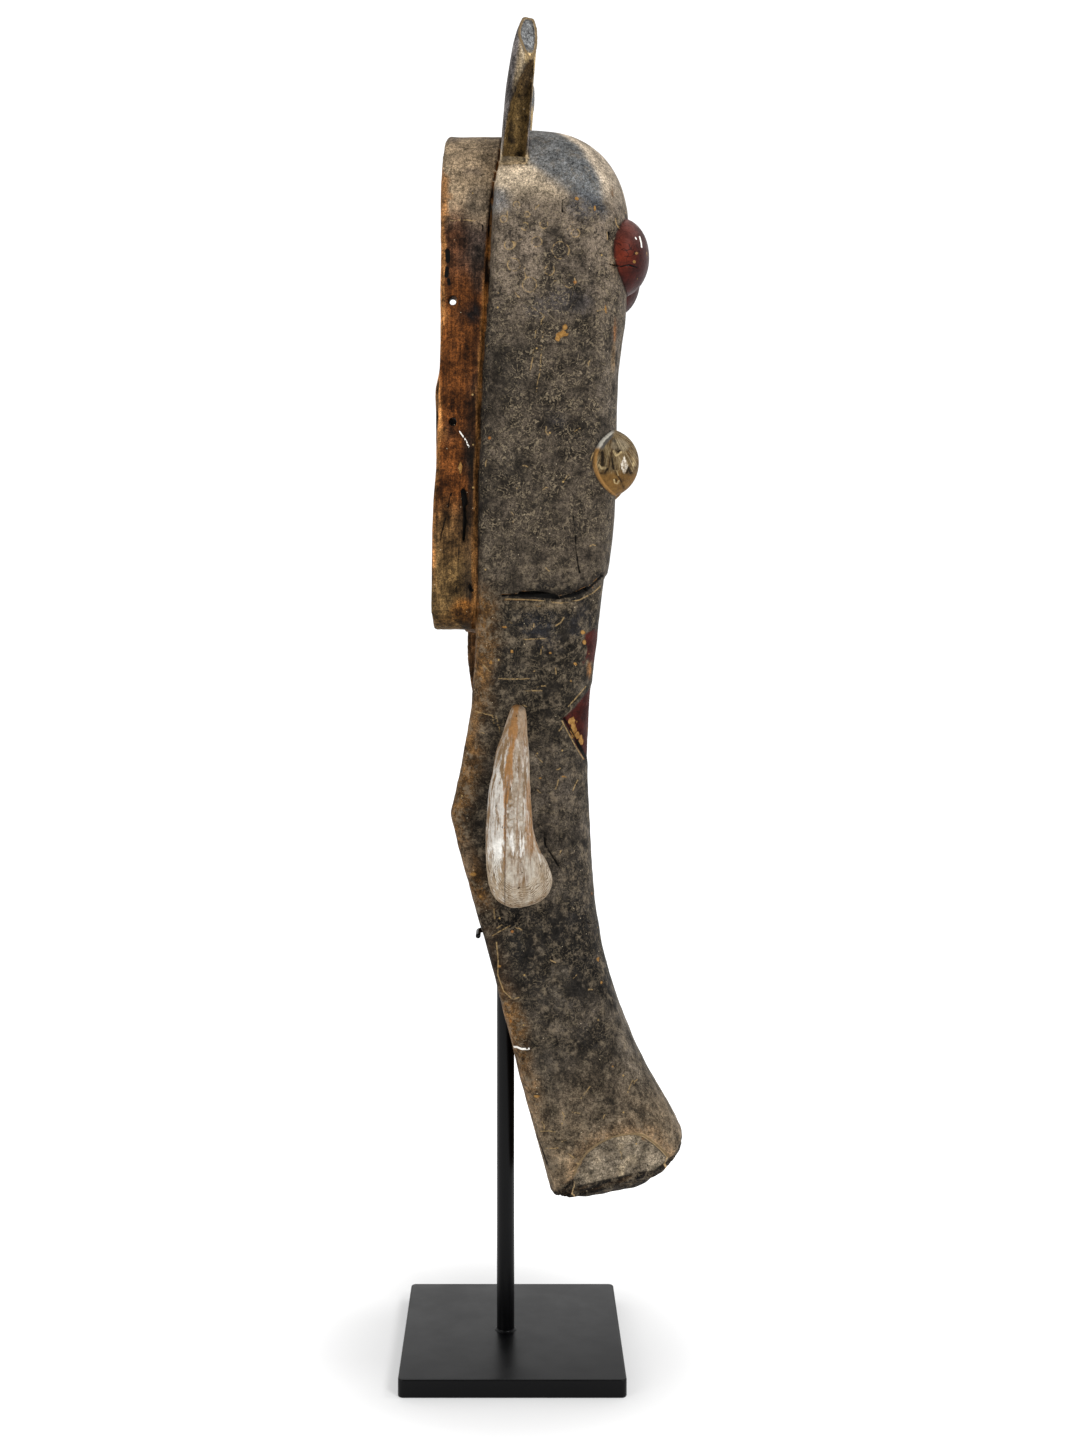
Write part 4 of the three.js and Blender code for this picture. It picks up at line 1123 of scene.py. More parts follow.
def ear_tone(part, points):
    """Colour of the ears: grey behind, bare wood by the grey facet, and a pitted brown scoop, darker at its
    deep top as painted shade.
    """
    x, _, z = points.T
    across = x - ear_centre(z)
    tone = even_tone(points, "#575250")
    band = smooth_step(-5, -2, across + 1.2 * noise(points, 8, 25, (1, 1, 4)))
    tone = shaded(tone, "#8b7754", band * smooth_step(898, 915, z) * 0.85)
    tone = shaded(tone, "#a2988a", smooth_step(0.0, 0.7, noise(points, 4, 26, (1, 1, 7))) * 0.5)
    tone = shaded(tone, "#262220", smooth_step(0.1, 0.7, noise(points, 3.4, 27, (1, 1, 8))) * 0.6)
    tone = shaded(tone, "#b79d70", smooth_step(0, 2.5, across) * smooth_step(928, 934, z) * 0.85)
    tone = shaded(tone, "#9a8562", smooth_step(874, 866, z) * 0.7)
    pitted = noise(points, 5, 28) + 0.6 * noise(points, 2.4, 29)
    in_scoop = smooth_step(1.4, 0.4, part["scoop"])
    tone = shaded(tone, "#5a4729", in_scoop)
    # Darker towards the scoop's deep top: painted shade
    tone = shaded(tone, "#2b2014", in_scoop * smooth_step(902, 922, z) * 0.8)
    tone = shaded(tone, "#171008", in_scoop * smooth_step(0.1, 0.8, pitted) * 0.8)
    on_facet = smooth_step(1.0, 0.3, np.abs(part["ear_facet"])) * smooth_step(938.5, 940.5, z)
    beside = smooth_step(-0.4, 0.6, x - 5.7 - (960.1 - z) * 0.395) * smooth_step(940, 942, z)
    return shaded(tone, "#6c6d6d", np.maximum(on_facet, beside))


def rim_tone(points, drift):
    """Colour of the bare rim: grey at the top, orange-brown in the middle, dull below."""
    x, y, z = points.T
    to_gap = rear_edge(z) - rim_gap_width(z) - x
    from_rear = x - rim_rear(z, y)
    tone = even_tone(points, "#512d11")
    tone = shaded(tone, "#7f4a1c", smooth_step(0.0, 0.9, noise(points, 14, 31, (1, 1, 4))) * 0.7)
    tone = shaded(tone, "#2e1f16", smooth_step(0.2, 0.9, noise(points, 9, 32, (1, 1, 3))) * 0.6)
    tone = shaded(tone, "#452b1b", smooth_step(765, 800, z + drift))
    tone = shaded(tone, "#2c2622", smooth_step(22, 9, to_gap + drift) * smooth_step(780, 805, z) * 0.85)
    tone = shaded(tone, "#8b7860", smooth_step(810, 832, z + 1.5 * drift - 0.25 * to_gap))
    dents = smooth_step(0.15, 0.7, noise(points, 10, 33, (1.4, 1.4, 1))) * smooth_step(815, 830, z)
    tone = shaded(tone, "#4a4038", dents * 0.7)
    tone = shaded(tone, "#49351e", smooth_step(640, 600, z + 2 * drift))
    tone = shaded(tone, "#5a472a", smooth_step(600, 570, z + 2 * drift) * 0.6)
    dark = smooth_step(10, 3, to_gap + 0.7 * drift) * smooth_step(790, 700, z)
    tone = shaded(tone, "#1c140e", dark * 0.7)
    tone = with_stains_and_painted_light(tone, points, drift)
    tone = shaded(tone, "#8a5f33", smooth_step(1.3, 0.4, to_gap) * smooth_step(800, 770, z) * 0.6)
    wide = 2.4 + 1.6 * smooth_step(770, 800, z) * smooth_step(862, 845, z)
    edge = smooth_step(0, -1.6, from_rear + 0.5 * drift - wide)
    tone = shaded(tone, "#a5713f", edge * smooth_step(560, 590, z) * smooth_step(872, 850, z) * 0.8)
    return gap_tone(z, to_gap, tone)


def gap_tone(z, to_gap, tone):
    """Colour in the open joint between rim and head: black above and a dark band lower down, painted shade
    deep in the joint, with brown wood further down.
    """
    inside = smooth_step(1, -0.3, to_gap) * smooth_step(735, 750, z)
    tone = shaded(tone, "#744a22", inside)
    # Painted shade deep in the joint: black above, and a dark band between 776 and 800
    tone = shaded(tone, "#0e0b09", inside * smooth_step(808, 816, z))
    return shaded(tone, "#1c120b", inside * smooth_step(776, 781, z) * smooth_step(800, 795, z))


def strokes(points, lines):
    """Distance in the side view from painted strokes, negative on them."""
    x, _, z = points.T
    wander = 0.3 * noise(points, 2.2, 14)
    away = [line_distance(x, z, line) - half_width for half_width, line in lines]
    return np.min(away, axis=0) + wander


def diamond_distance(points):
    """Distance from the small white diamond on the eye, negative on it."""
    x, _, z = points.T
    cx, cz, half_x, half_z = EYE_DIAMOND
    return (np.abs(x - cx) / half_x + np.abs(z - cz) / half_z - 1) * half_x * 0.8


def calmness(part, points):
    """How evenly each point is coloured: 1 where the ground is mottled, less on smooth patches."""
    z = points[:, 2]
    calm = smooth_step(826, 842, z) * 0.45
    calm = np.maximum(calm, smooth_step(1.2, 0.4, np.abs(part["ear_facet"])) * (z > 936) * 0.85)
    return 1 - calm


def write_vectors(mesh, name, *columns):
    """Stores three numbers for each point, for the paint to read."""
    layer = mesh.attributes.new(name, "FLOAT_VECTOR", "POINT")
    layer.data.foreach_set("vector", np.stack(columns, axis=-1).astype(np.float32).ravel())


def red_distance(part, points, x, z):
    """How deep each point lies in the red of the bosses, the strip below the jaw and the chevron."""
    strip = np.minimum(9.5 - front_at(z) + x, 11 - np.abs(z - 523.5)) * 0.25
    strip = strip + 0.9 * noise(points, 5, 35)
    chevron = np.where(z > 410, -chevron_distance(x, z), -FAR)
    chevron = np.where(part["hollow"] > 4, np.minimum(chevron, 12), -FAR)
    return np.maximum(np.maximum(part["boss"], np.minimum(strip, 4)), chevron)


def texture_shares(part, z):
    """How much crust, grain and gloss each point has."""
    on_wood = (part["rim"] > 0) | (part["hollow"] < 2)
    on_ear = part["ear"] > 0
    crust = smooth_step(560, 640, z) * smooth_step(850, 800, z) * 0.85 + 0.15
    crust = np.where(on_wood | on_ear, 0, crust)
    grain = np.where(on_wood, 1 - 0.5 * smooth_step(815, 830, z), np.where(on_ear, 0.8, 0.2))
    return crust, grain, smooth_step(0, 1, part["boss"])


def write_paint_guides(mesh, carving):
    """Stores on the mesh what the paint has to know about each of its points."""
    points = coordinates(mesh)
    marks = Marks(points)
    bend = bending(mesh, points)
    plain = settled(carving, points)
    x, _, z = plain.T
    part = {name: sample(field, plain) for name, field in carving.parts.items()}
    part["end_edge"] = edge_distance(carving, "end", plain)
    part["facet_edge"] = edge_distance(carving, "tip_facet", plain)
    write_vectors(mesh, "owners", red_distance(part, points, x, z), part["eye"], part["tusk"])
    write_vectors(mesh, "marks", marks.crack_and_shade, marks.scratch_and_highlight, marks.chip)
    bend = np.where(on_ears(part, z) & (bend > 0), 0.5 * bend, bend)
    in_gap = (np.abs(x - rear_edge(z) + rim_gap_width(z) / 2) < 3.4) & (z > 745)
    bend = np.where(in_gap, np.maximum(bend, -0.05), bend)
    crease = sample(carving.crease, plain) + in_gap * (2 - 1.2 * smooth_step(808, 818, z))
    write_vectors(mesh, "edges", bend, crease, -part["tie_hole"])
    on_eye = part["eye"] > 0
    painted = (strokes(points, EYE_DARK), strokes(points, EYE_LIGHT), diamond_distance(points))
    write_vectors(mesh, "eyes", *(np.where(on_eye, away, FAR) for away in painted))
    below_arris = 6 * smooth_step(3, 0.5, part["end_edge"])
    ear_outline = edge_distance(carving, "ear_facet", plain)
    outline = np.where(z < 300, part["facet_edge"] + below_arris, ear_outline)
    write_vectors(mesh, "extras", outline, x - tusk_streak(z), marks.pale)
    write_vectors(mesh, "textures", *texture_shares(part, z))
    tone = mesh.attributes.new("tone", "FLOAT_COLOR", "POINT")
    colours = np.hstack([ground_tone(part, plain), calmness(part, plain)[:, None]])
    tone.data.foreach_set("color", colours.astype(np.float32).ravel())


def mask_mesh():
    """The dressed mask: carved, made uneven, marked and ready for its paint."""
    carving = carve_mask()
    points, faces = largest_body(*extracted(carving))
    points = points - slopes(carving.field, points) * sample(carving.field, points)[:, None]
    points = points + slopes(carving.field, points) * relief(carving, points)[:, None]
    mesh = decimated(mesh_from("mask_carving", points, faces[:, ::-1]), CARVING_TRIANGLES)
    mesh = refined(mesh, carving)
    engrave(mesh, carving)
    mesh = decimated(mesh, MASK_TRIANGLES)
    write_paint_guides(mesh, carving)
    return mesh


class Paint:
    """A material's nodes, made with short calls. Values may be numbers, colours or sockets."""

    def __init__(self, name):
        self.material = bpy.data.materials.new(name)
        self.material.use_nodes = True
        self.nodes = self.material.node_tree.nodes
        self.links = self.material.node_tree.links
        self.shader = self.nodes["Principled BSDF"]
        self.place = self.nodes.new("ShaderNodeTexCoord").outputs["Object"]

    def feed(self, socket, value):
        """Links or sets a socket, whichever the value needs."""
        if isinstance(value, bpy.types.NodeSocket):
            self.links.new(value, socket)
        elif isinstance(value, tuple) and len(value) == 3 and socket.type == "RGBA":
            socket.default_value = (*value, 1)
        else:
            socket.default_value = value

    def set(self, name, value):
        """Gives one of the shader's own sockets a value."""
        self.feed(self.shader.inputs[name], value)

    def length(self, a, b):
        """Length of the side opposite the right angle between two others."""
        squares = self.math("MULTIPLY_ADD", a, a, self.times(b, b))
        return self.math("SQRT", squares)

    def math(self, operation, a, b=0.0, c=None):
        """Result of one operation on up to three values."""
        node = self.nodes.new("ShaderNodeMath")
        node.operation = operation
        for socket, value in zip(node.inputs, (a, b, c)):
            if value is not None:
                self.feed(socket, value)
        return node.outputs[0]

    def times(self, a, b):
        """Product of two values."""
        return self.math("MULTIPLY", a, b)

    def fit(self, value, low, high, to_low=0.0, to_high=1.0):
        """Maps a value smoothly from one range to another and holds it there."""
        node = self.nodes.new("ShaderNodeMapRange")
        node.interpolation_type = "SMOOTHSTEP"
        for socket, number in zip(node.inputs, (value, low, high, to_low, to_high)):
            self.feed(socket, number)
        return node.outputs[0]

    def mix(self, share, a, b):
        """Colour between two others: the first at 0 and the second at 1."""
        node = self.nodes.new("ShaderNodeMix")
        node.data_type = "RGBA"
        for socket, value in ((node.inputs[0], share), (node.inputs[6], a), (node.inputs[7], b)):
            self.feed(socket, value)
        return node.outputs[2]

    def coat(self, surface, colour, share, strength=1):
        """A surface with a colour laid over a share of it, thinly where the strength is below 1."""
        if strength != 1:
            share = self.times(share, strength)
        return self.mix(share, surface, linear(colour))

    def scaled(self, colour, factor):
        """A colour or place with each of its numbers multiplied by a factor."""
        node = self.nodes.new("ShaderNodeVectorMath")
        node.operation = "SCALE"
        self.feed(node.inputs[0], colour)
        self.feed(node.inputs["Scale"], factor)
        return node.outputs[0]

    def spread(self, size, stretch, shift):
        """Coordinates in which a pattern's features are about size millimetres wide."""
        node = self.nodes.new("ShaderNodeVectorMath")
        node.operation = "MULTIPLY_ADD"
        self.feed(node.inputs[0], self.place)
        node.inputs[1].default_value = [1 / (size * MM * part) for part in stretch]
        node.inputs[2].default_value = (shift, shift * 0.7, shift * 1.3)
        return node.outputs[0]

    def noise(self, size, detail=3.0, roughness=0.55, stretch=(1, 1, 1), shift=0.0, distortion=0.0):
        """Cloudy pattern with features about size millimetres wide."""
        node = self.nodes.new("ShaderNodeTexNoise")
        self.feed(node.inputs["Vector"], self.spread(size, stretch, shift))
        node.inputs["Scale"].default_value = 1
        node.inputs["Detail"].default_value = detail
        node.inputs["Roughness"].default_value = roughness
        node.inputs["Distortion"].default_value = distortion
        return node.outputs["Fac"]

    def specks(self, size, shift=0.0):
        """Distance from scattered points, and a random number for each of them."""
        node = self.nodes.new("ShaderNodeTexVoronoi")
        self.feed(node.inputs["Vector"], self.spread(size, (1, 1, 1), shift))
        node.inputs["Scale"].default_value = 1
        split = self.nodes.new("ShaderNodeSeparateColor")
        self.links.new(node.outputs["Color"], split.inputs[0])
        return node.outputs["Distance"], split.outputs[0]

    def guide(self, name):
        """The three numbers that the mesh stores under a name."""
        node = self.nodes.new("ShaderNodeAttribute")
        node.attribute_name = name
        split = self.nodes.new("ShaderNodeSeparateXYZ")
        self.links.new(node.outputs["Vector"], split.inputs[0])
        return split.outputs

    def tone(self):
        """The broad colour that the mesh stores, and how strongly it is mottled."""
        node = self.nodes.new("ShaderNodeAttribute")
        node.attribute_name = "tone"
        return node.outputs["Color"], node.outputs["Alpha"]

    def fan(self, centre, turns, length, shift):
        """A pattern of hairs that spread from a point of the side view."""
        x, _, z = self.millimetres()
        aside = self.math("SUBTRACT", x, centre[0])
        down = self.math("SUBTRACT", centre[1], z)
        join = self.nodes.new("ShaderNodeCombineXYZ")
        self.feed(join.inputs[0], self.times(self.math("ARCTAN2", aside, down), turns))
        self.feed(join.inputs[1], self.times(self.length(aside, down), 1 / length))
        join.inputs[2].default_value = shift
        node = self.nodes.new("ShaderNodeTexNoise")
        self.feed(node.inputs["Vector"], join.outputs[0])
        node.inputs["Scale"].default_value = 1
        node.inputs["Detail"].default_value = 2
        node.inputs["Distortion"].default_value = 0.4
        return node.outputs["Fac"]

    def bump(self, height, distance):
        """Relief of the shading, up to a distance in millimetres."""
        node = self.nodes.new("ShaderNodeBump")
        node.inputs["Strength"].default_value = 1
        node.inputs["Distance"].default_value = distance * MM
        self.feed(node.inputs["Height"], height)
        self.links.new(node.outputs["Normal"], self.shader.inputs["Normal"])

    def millimetres(self):
        """The surface's own coordinates, one socket each."""
        split = self.nodes.new("ShaderNodeSeparateXYZ")
        self.links.new(self.scaled(self.place, 1 / MM), split.inputs[0])
        return split.outputs

    def curls(self, size, turns, shift):
        """Thin lines that follow the hills of a pattern, several beside one another."""
        hills = self.noise(size, 2, 0.5, shift=shift, distortion=0.5)
        wave = self.math("PINGPONG", self.times(hills, turns), 1.0)
        return self.fit(wave, 0.3, 0.06)

    def oval(self, shape):
        """1 on the outline of an oval of the side view, given as its middle and half sizes."""
        x, _, z = self.millimetres()
        middle_x, middle_z, half_x, half_z = shape
        return self.length(self.math("MULTIPLY_ADD", x, 1 / half_x, -middle_x / half_x),
                           self.math("MULTIPLY_ADD", z, 1 / half_z, -middle_z / half_z))

    def contour(self, value, level, half_width):
        """1 on the lines where a pattern passes a level."""
        away = self.math("ABSOLUTE", self.math("SUBTRACT", value, level))
        return self.fit(away, half_width, half_width * 0.3)


def weathered_ground(paint, guides):
    """Mottled ground, streaked along the grain where the wood is bare, with curls of tan crust."""
    tone, mottling = paint.tone()
    light = paint.fit(guides.mottle, 0.3, 0.7, 0.24, 1.7)
    light = paint.math("MULTIPLY_ADD", paint.math("SUBTRACT", light, 1), mottling, 1)
    light = paint.times(light, paint.fit(guides.fine, 0.25, 0.75, 0.36, 1.66))
    light = paint.times(light, paint.fit(paint.noise(0.9, 2, 0.7, shift=6), 0.3, 0.7, 0.48, 1.54))
    streaks = paint.noise(5, 3, 0.6, (1, 1, 9), 8)
    along = paint.times(paint.fit(guides.grain, 0.3, 0.7, 0.6, 1.4), paint.fit(streaks, 0.3, 0.7, 0.6, 1.4))
    along = paint.math("MULTIPLY_ADD", paint.math("SUBTRACT", along, 1), guides.grain_share, 1)
    ground = paint.scaled(paint.scaled(tone, light), along)
    painted = paint.times(paint.fit(guides.grain_share, 0.75, 0.25), mottling)
    plain = paint.times(painted, paint.math("SUBTRACT", 1, guides.crust_share))
    layers = ((7, 0.5, 0.66, "#80725f", 0.6), (9, 0.47, 0.36, "#171411", 0.65))
    for size, start, end, colour, strength in layers:
        layer = paint.times(paint.fit(paint.noise(size, 6, 0.73, shift=20 + size), start, end), plain)
        ground = paint.coat(ground, colour, layer, strength)
    curls = paint.math("MAXIMUM", paint.curls(6, 13, 12), paint.curls(3.4, 6, 15))
    patchy = paint.fit(paint.noise(20, 3, 0.6, shift=17), 0.36, 0.56)
    broken = paint.fit(paint.noise(4, 2, 0.6, shift=19), 0.3, 0.55)
    share = paint.times(paint.fit(guides.crust_share, 0, 1, 0.42, 1), painted)
    crust = paint.times(paint.times(curls, broken), paint.times(patchy, share))
    ground = paint.coat(ground, "#93846c", crust, 0.62)
    pits = paint.times(paint.fit(paint.noise(3.4, 3, 0.6, shift=21), 0.44, 0.34), share)
    return paint.coat(ground, "#1b1815", pits, 0.75), crust


def worn(paint, guides, ground):
    """Bare wood along the edges, a painted shadow just inside the facets' outlines, and pale, dark and
    ochre specks.
    """
    edge = paint.fit(guides.frayed(guides.bend, 0.05), 0.12, 0.26)
    ground = paint.coat(ground, "#94693c", edge, 0.65)
    outline = guides.frayed(guides.outline, 0.3)
    # Painted shadow just inside the facets' light outlines
    shadow = paint.fit(paint.math("ABSOLUTE", paint.math("ADD", outline, 1.6)), 1.2, 0.3)
    ground = paint.coat(ground, "#201a14", shadow, 0.5)
    line = paint.fit(paint.math("ABSOLUTE", outline), 1.3, 0.7)
    ground = paint.coat(ground, "#b2976f", line, 0.9)
    kinds = ((9, "#9c8152", 31, 0.86), (7, "#120f0c", 37, 0.78), (15, "#8a5a2c", 41, 0.9),
             (4.5, "#b3a48a", 43, 0.8), (4, "#0f0d0b", 45, 0.8))
    for size, colour, shift, rare in kinds:
        distance, chance = paint.specks(size, shift)
        speck = paint.times(paint.fit(distance, 0.1, 0.05), paint.math("GREATER_THAN", chance, rare))
        ground = paint.coat(ground, colour, speck)
    return ground


def red_lacquer(paint, guides):
    """Dark red paint, cracked and chipped in places, dusty on top of the balls and rusty beside."""
    x, _, z = guides.place
    red = paint.mix(paint.fit(guides.mottle, 0.35, 0.65), linear("#250805"), linear("#41140d"))
    rust = paint.fit(paint.oval(BOSS_RUST), 1.4, 0.3, 0, 0.8)
    red = paint.coat(red, "#5e2314", rust)
    dusty = paint.times(paint.fit(z, 796, 824), paint.fit(guides.mottle, 0.3, 0.65, 0.3, 0.8))
    red = paint.coat(red, "#6b3d34", dusty)
    red = paint.coat(red, "#2a1110", paint.fit(x, 80, 95), 0.7)
    red = paint.scaled(red, paint.fit(guides.fine, 0.2, 0.8, 0.7, 1.3))
    lines = paint.contour(paint.noise(26, 3, 0.6, shift=53, distortion=1), 0.5, 0.006)
    red = paint.coat(red, "#170806", lines, 0.8)
    chips = paint.fit(paint.noise(10, 4, 0.62, shift=51), 0.675, 0.7)
    return paint.coat(red, "#8a6a3e", chips, 0.75)


def painted_eye(paint, guides):
    """Brown ball with hairs that spread from its top, soft strokes, a white diamond and a worn rim, pale
    grey above as a partly painted highlight.
    """
    x, _, z = guides.place
    patches = paint.noise(6, 5, 0.65, (1, 1, 2), 61)
    eye = paint.mix(paint.fit(patches, 0.36, 0.64), linear("#5b462b"), linear("#8f7a57"))
    lobe = paint.fit(guides.frayed(paint.oval(EYE_LOBE), 0.3), 1.3, 0.7)
    eye = paint.coat(eye, "#a4957a", lobe, 0.85)
    layers = ((26, 0.5, 0.62, 0.8, "#2f2213"), (38, 0.54, 0.64, 0.6, "#b7a581"),
              (60, 0.5, 0.6, 0.5, "#3b2c19"))
    for turns, low, high, strength, colour in layers:
        hairs = paint.fit(paint.fan(EYE_FAN, turns, 16, turns), low, high)
        eye = paint.coat(eye, colour, hairs, strength)
    ochre = paint.mix(patches, linear("#54381a"), linear("#8b6a3a"))
    eye = paint.mix(paint.fit(guides.frayed(z, 1.6), 648, 643), eye, ochre)
    eye = paint.scaled(eye, paint.fit(guides.fine, 0.2, 0.8, 0.52, 1.1))
    smudge = paint.fit(guides.frayed(paint.oval(EYE_SMUDGE), 0.4), 1.4, 0.2)
    eye = paint.coat(eye, "#2c2a26", smudge, 0.7)
    dark = guides.frayed(guides.eye_dark, 0.6)
    eye = paint.coat(eye, "#2b1f12", paint.fit(dark, 2.2, 0.2), 0.4)
    eye = paint.coat(eye, "#140e08", paint.fit(dark, 0.5, -0.5), 0.92)
    light = guides.frayed(guides.eye_light, 0.3)
    eye = paint.coat(eye, "#c0a97c", paint.fit(light, 0.4, -0.3), 0.85)
    net = paint.mix(paint.fit(guides.fine, 0.42, 0.58), linear("#7a6a55"), linear("#d3cabb"))
    eye = paint.mix(paint.fit(guides.diamond, 0.3, -0.2), eye, net)
    edge = guides.frayed(guides.eye, 0.6)
    # Pale grey along the upper rim: worn paint lightened as a painted highlight, darker towards the inside
    # as painted shade
    grey = paint.times(paint.fit(edge, 4.6, 3.4), paint.fit(z, 660, 663))
    grey = paint.times(grey, paint.fit(x, 73, 69))
    rim = paint.mix(paint.fit(edge, 2.6, 1.8), linear("#4a4742"), linear("#aaa599"))
    eye = paint.mix(grey, eye, rim)
    tan = paint.times(paint.fit(edge, 2.6, 1.6), paint.fit(z, 664, 661))
    return paint.coat(eye, "#97703f", tan, 0.85)


def worn_tusk(paint, guides):
    """White paint worn through to brown wood, in streaks on one facet and soft lumps on the other."""
    tusk = tusk_facets(paint, guides)
    tusk = tusk_growth(paint, guides, tusk)
    tusk = tusk_streaks(paint, guides, tusk)
    pits = paint.fit(paint.noise(4, 3, 0.6, (1, 1, 1.6), 77), 0.68, 0.71)
    tusk = paint.coat(tusk, "#38240f", pits, 0.9)
    return paint.scaled(tusk, paint.fit(guides.fine, 0.2, 0.8, 0.66, 1.1))


def tusk_facets(paint, guides):
    """The rear facet's white patches and the front facet's chains of pale lumps, browner at the tip."""
    _, _, z = guides.place
    across = guides.frayed(guides.across, 2.4)
    streaks = paint.noise(4, 6, 0.7, (1, 1, 6), 71)
    height_share = paint.fit(paint.math("ABSOLUTE", paint.math("SUBTRACT", z, 404)), 46, 14, 0, 0.12)
    side_share = paint.fit(guides.across, -15, -8, -0.06, 0.03)
    cover = paint.math("ADD", paint.math("ADD", streaks, height_share), side_share)
    white = paint.fit(cover, 0.54, 0.64)
    left = paint.mix(white, paint.mix(streaks, linear("#6d5337"), linear("#a48d6e")), linear("#e2ded6"))
    wash = paint.noise(6, 5, 0.65, (1, 1, 3.5), 76)
    right = paint.mix(paint.fit(wash, 0.36, 0.6), linear("#745c42"), linear("#b3a99a"))
    for size, shift in ((5.4, 75), (3.4, 78)):
        distance, chance = paint.specks(size, shift)
        often = paint.times(paint.fit(chance, 0.45, 0.7, 0, 0.75), paint.fit(z, 378, 396, 0.2, 1))
        lump = paint.times(paint.fit(distance, 0.52, 0.12), often)
        right = paint.coat(right, "#d9d4ca", lump)
        ring = paint.times(paint.contour(distance, 0.5, 0.07), paint.times(often, 0.6))
        right = paint.coat(right, "#7c6850", ring)
    tusk = paint.mix(paint.fit(across, -0.5, 0.5), left, right)
    flakes = paint.noise(3, 5, 0.7, (1, 1, 8), 84)
    flaking = paint.fit(z, 366, 380, 0.35, 1)
    tusk = paint.coat(tusk, "#eeebe5", paint.times(paint.fit(flakes, 0.54, 0.6, 0, 0.7), flaking))
    tusk = paint.coat(tusk, "#6d4e2f", paint.times(paint.fit(flakes, 0.44, 0.37, 0, 0.7), flaking))
    tip = paint.mix(streaks, linear("#745438"), linear("#bb9d7a"))
    return paint.mix(paint.fit(z, 432, 474, 0, 0.65), tusk, tip)


def tusk_growth(paint, guides, tusk):
    """Growth rings round the tusk's root."""
    x, _, z = guides.place
    centre_x, centre_z = TUSK_RINGS
    root = paint.length(paint.math("SUBTRACT", x, centre_x), paint.math("SUBTRACT", z, centre_z))
    root = guides.frayed(root, 0.5)
    hair = paint.math("MULTIPLY_ADD", paint.noise(9, 3, 0.6, shift=80), 7, root)
    rings = paint.fit(paint.math("PINGPONG", hair, 0.75), 0.2, 0.6)
    low = paint.times(paint.fit(z, 382, 366), paint.fit(root, 9, 15))
    worn_through = paint.fit(paint.noise(7, 4, 0.6, shift=81), 0.4, 0.6, 0.25, 0.85)
    tusk = paint.coat(tusk, "#b1a28b", low, 0.45)
    tusk = paint.coat(tusk, "#5e472e", paint.times(paint.times(rings, low), worn_through))
    edge = paint.fit(root, 24, 27)
    return paint.coat(tusk, "#6f573c", edge, 0.3)


def tusk_streaks(paint, guides, tusk):
    """The worn brown streak down the ridge, its dark core and the bare wood along the front edge."""
    _, _, z = guides.place
    across = guides.frayed(guides.across, 1.1)
    wide = paint.fit(z, 385, 455, 0.5, 2.4)
    wide = paint.times(wide, paint.fit(paint.noise(9, 2, 0.5, (1, 1, 2), 79), 0.35, 0.65, 0.5, 1.4))
    streak = paint.fit(paint.math("SUBTRACT", paint.math("ABSOLUTE", across), wide), 0.7, -0.4)
    threads = paint.noise(3, 5, 0.7, (1, 1, 7), 83)
    broken = paint.times(paint.fit(z, 362, 376), paint.fit(threads, 0.34, 0.52, 0.4, 0.95))
    brown = paint.mix(threads, linear("#6f4a28"), linear("#b08250"))
    tusk = paint.mix(paint.times(streak, broken), tusk, brown)
    line = paint.fit(paint.math("ABSOLUTE", guides.across), 0.8, 0.2)
    line = paint.times(line, paint.fit(z, 440, 420))
    tusk = paint.coat(tusk, "#3b2a1a", line, 0.6)
    beside = paint.math("ABSOLUTE", paint.math("SUBTRACT", across, 8))
    beside = paint.times(paint.fit(beside, 1.1, 0.2), paint.fit(z, 372, 386))
    tusk = paint.coat(tusk, "#7d6045", beside, 0.45)
    front = paint.times(paint.fit(across, 12.6, 14.6), paint.fit(z, 374, 386))
    front = paint.times(front, paint.fit(threads, 0.38, 0.55, 0.15, 0.8))
    return paint.coat(tusk, "#8b6640", front)


def marked(paint, guides, surface):
    """Painted shade in creases and hollow corners, then chips, scratches and the painted lip highlight,
    pale threads and glints, and shade painted black in tie holes, cracks and grooves.
    """
    # Painted shade in the creases where parts join, and in hollow corners
    crease_shade = paint.fit(guides.frayed(guides.crease, 0.5), 2, 0.4)
    surface = paint.coat(surface, "#15110d", crease_shade, 0.75)
    surface = paint.coat(surface, "#120e0b", paint.fit(guides.bend, -0.06, -0.25), 0.6)
    chip = guides.frayed(guides.chip, 0.8)
    bare = paint.mix(paint.fit(guides.fine, 0.3, 0.7), linear("#6f4b22"), linear("#a07a44"))
    surface = paint.mix(paint.fit(chip, 0.25, -0.15), surface, bare)
    worn_in = paint.fit(guides.fine, 0.3, 0.6, 0.2, 0.75)
    # Tan scratches, and the painted highlight along the lip below the jaw
    scratched_and_highlit = paint.times(paint.fit(guides.scratch_and_highlight, 0.35, -0.1), worn_in)
    surface = paint.coat(surface, "#a2875c", scratched_and_highlit)
    surface = paint.coat(surface, "#e8e4dc", paint.fit(guides.pale, 0.3, 0.0))
    # Black inside the tie holes: painted shade
    surface = paint.coat(surface, "#0b0806", paint.fit(guides.in_hole, -0.5, 0.3))
    # Black in the open cracks and along the jaw and chevron grooves: painted shade
    return paint.coat(surface, "#050403", paint.fit(guides.crack_and_shade, 0.25, -0.35))


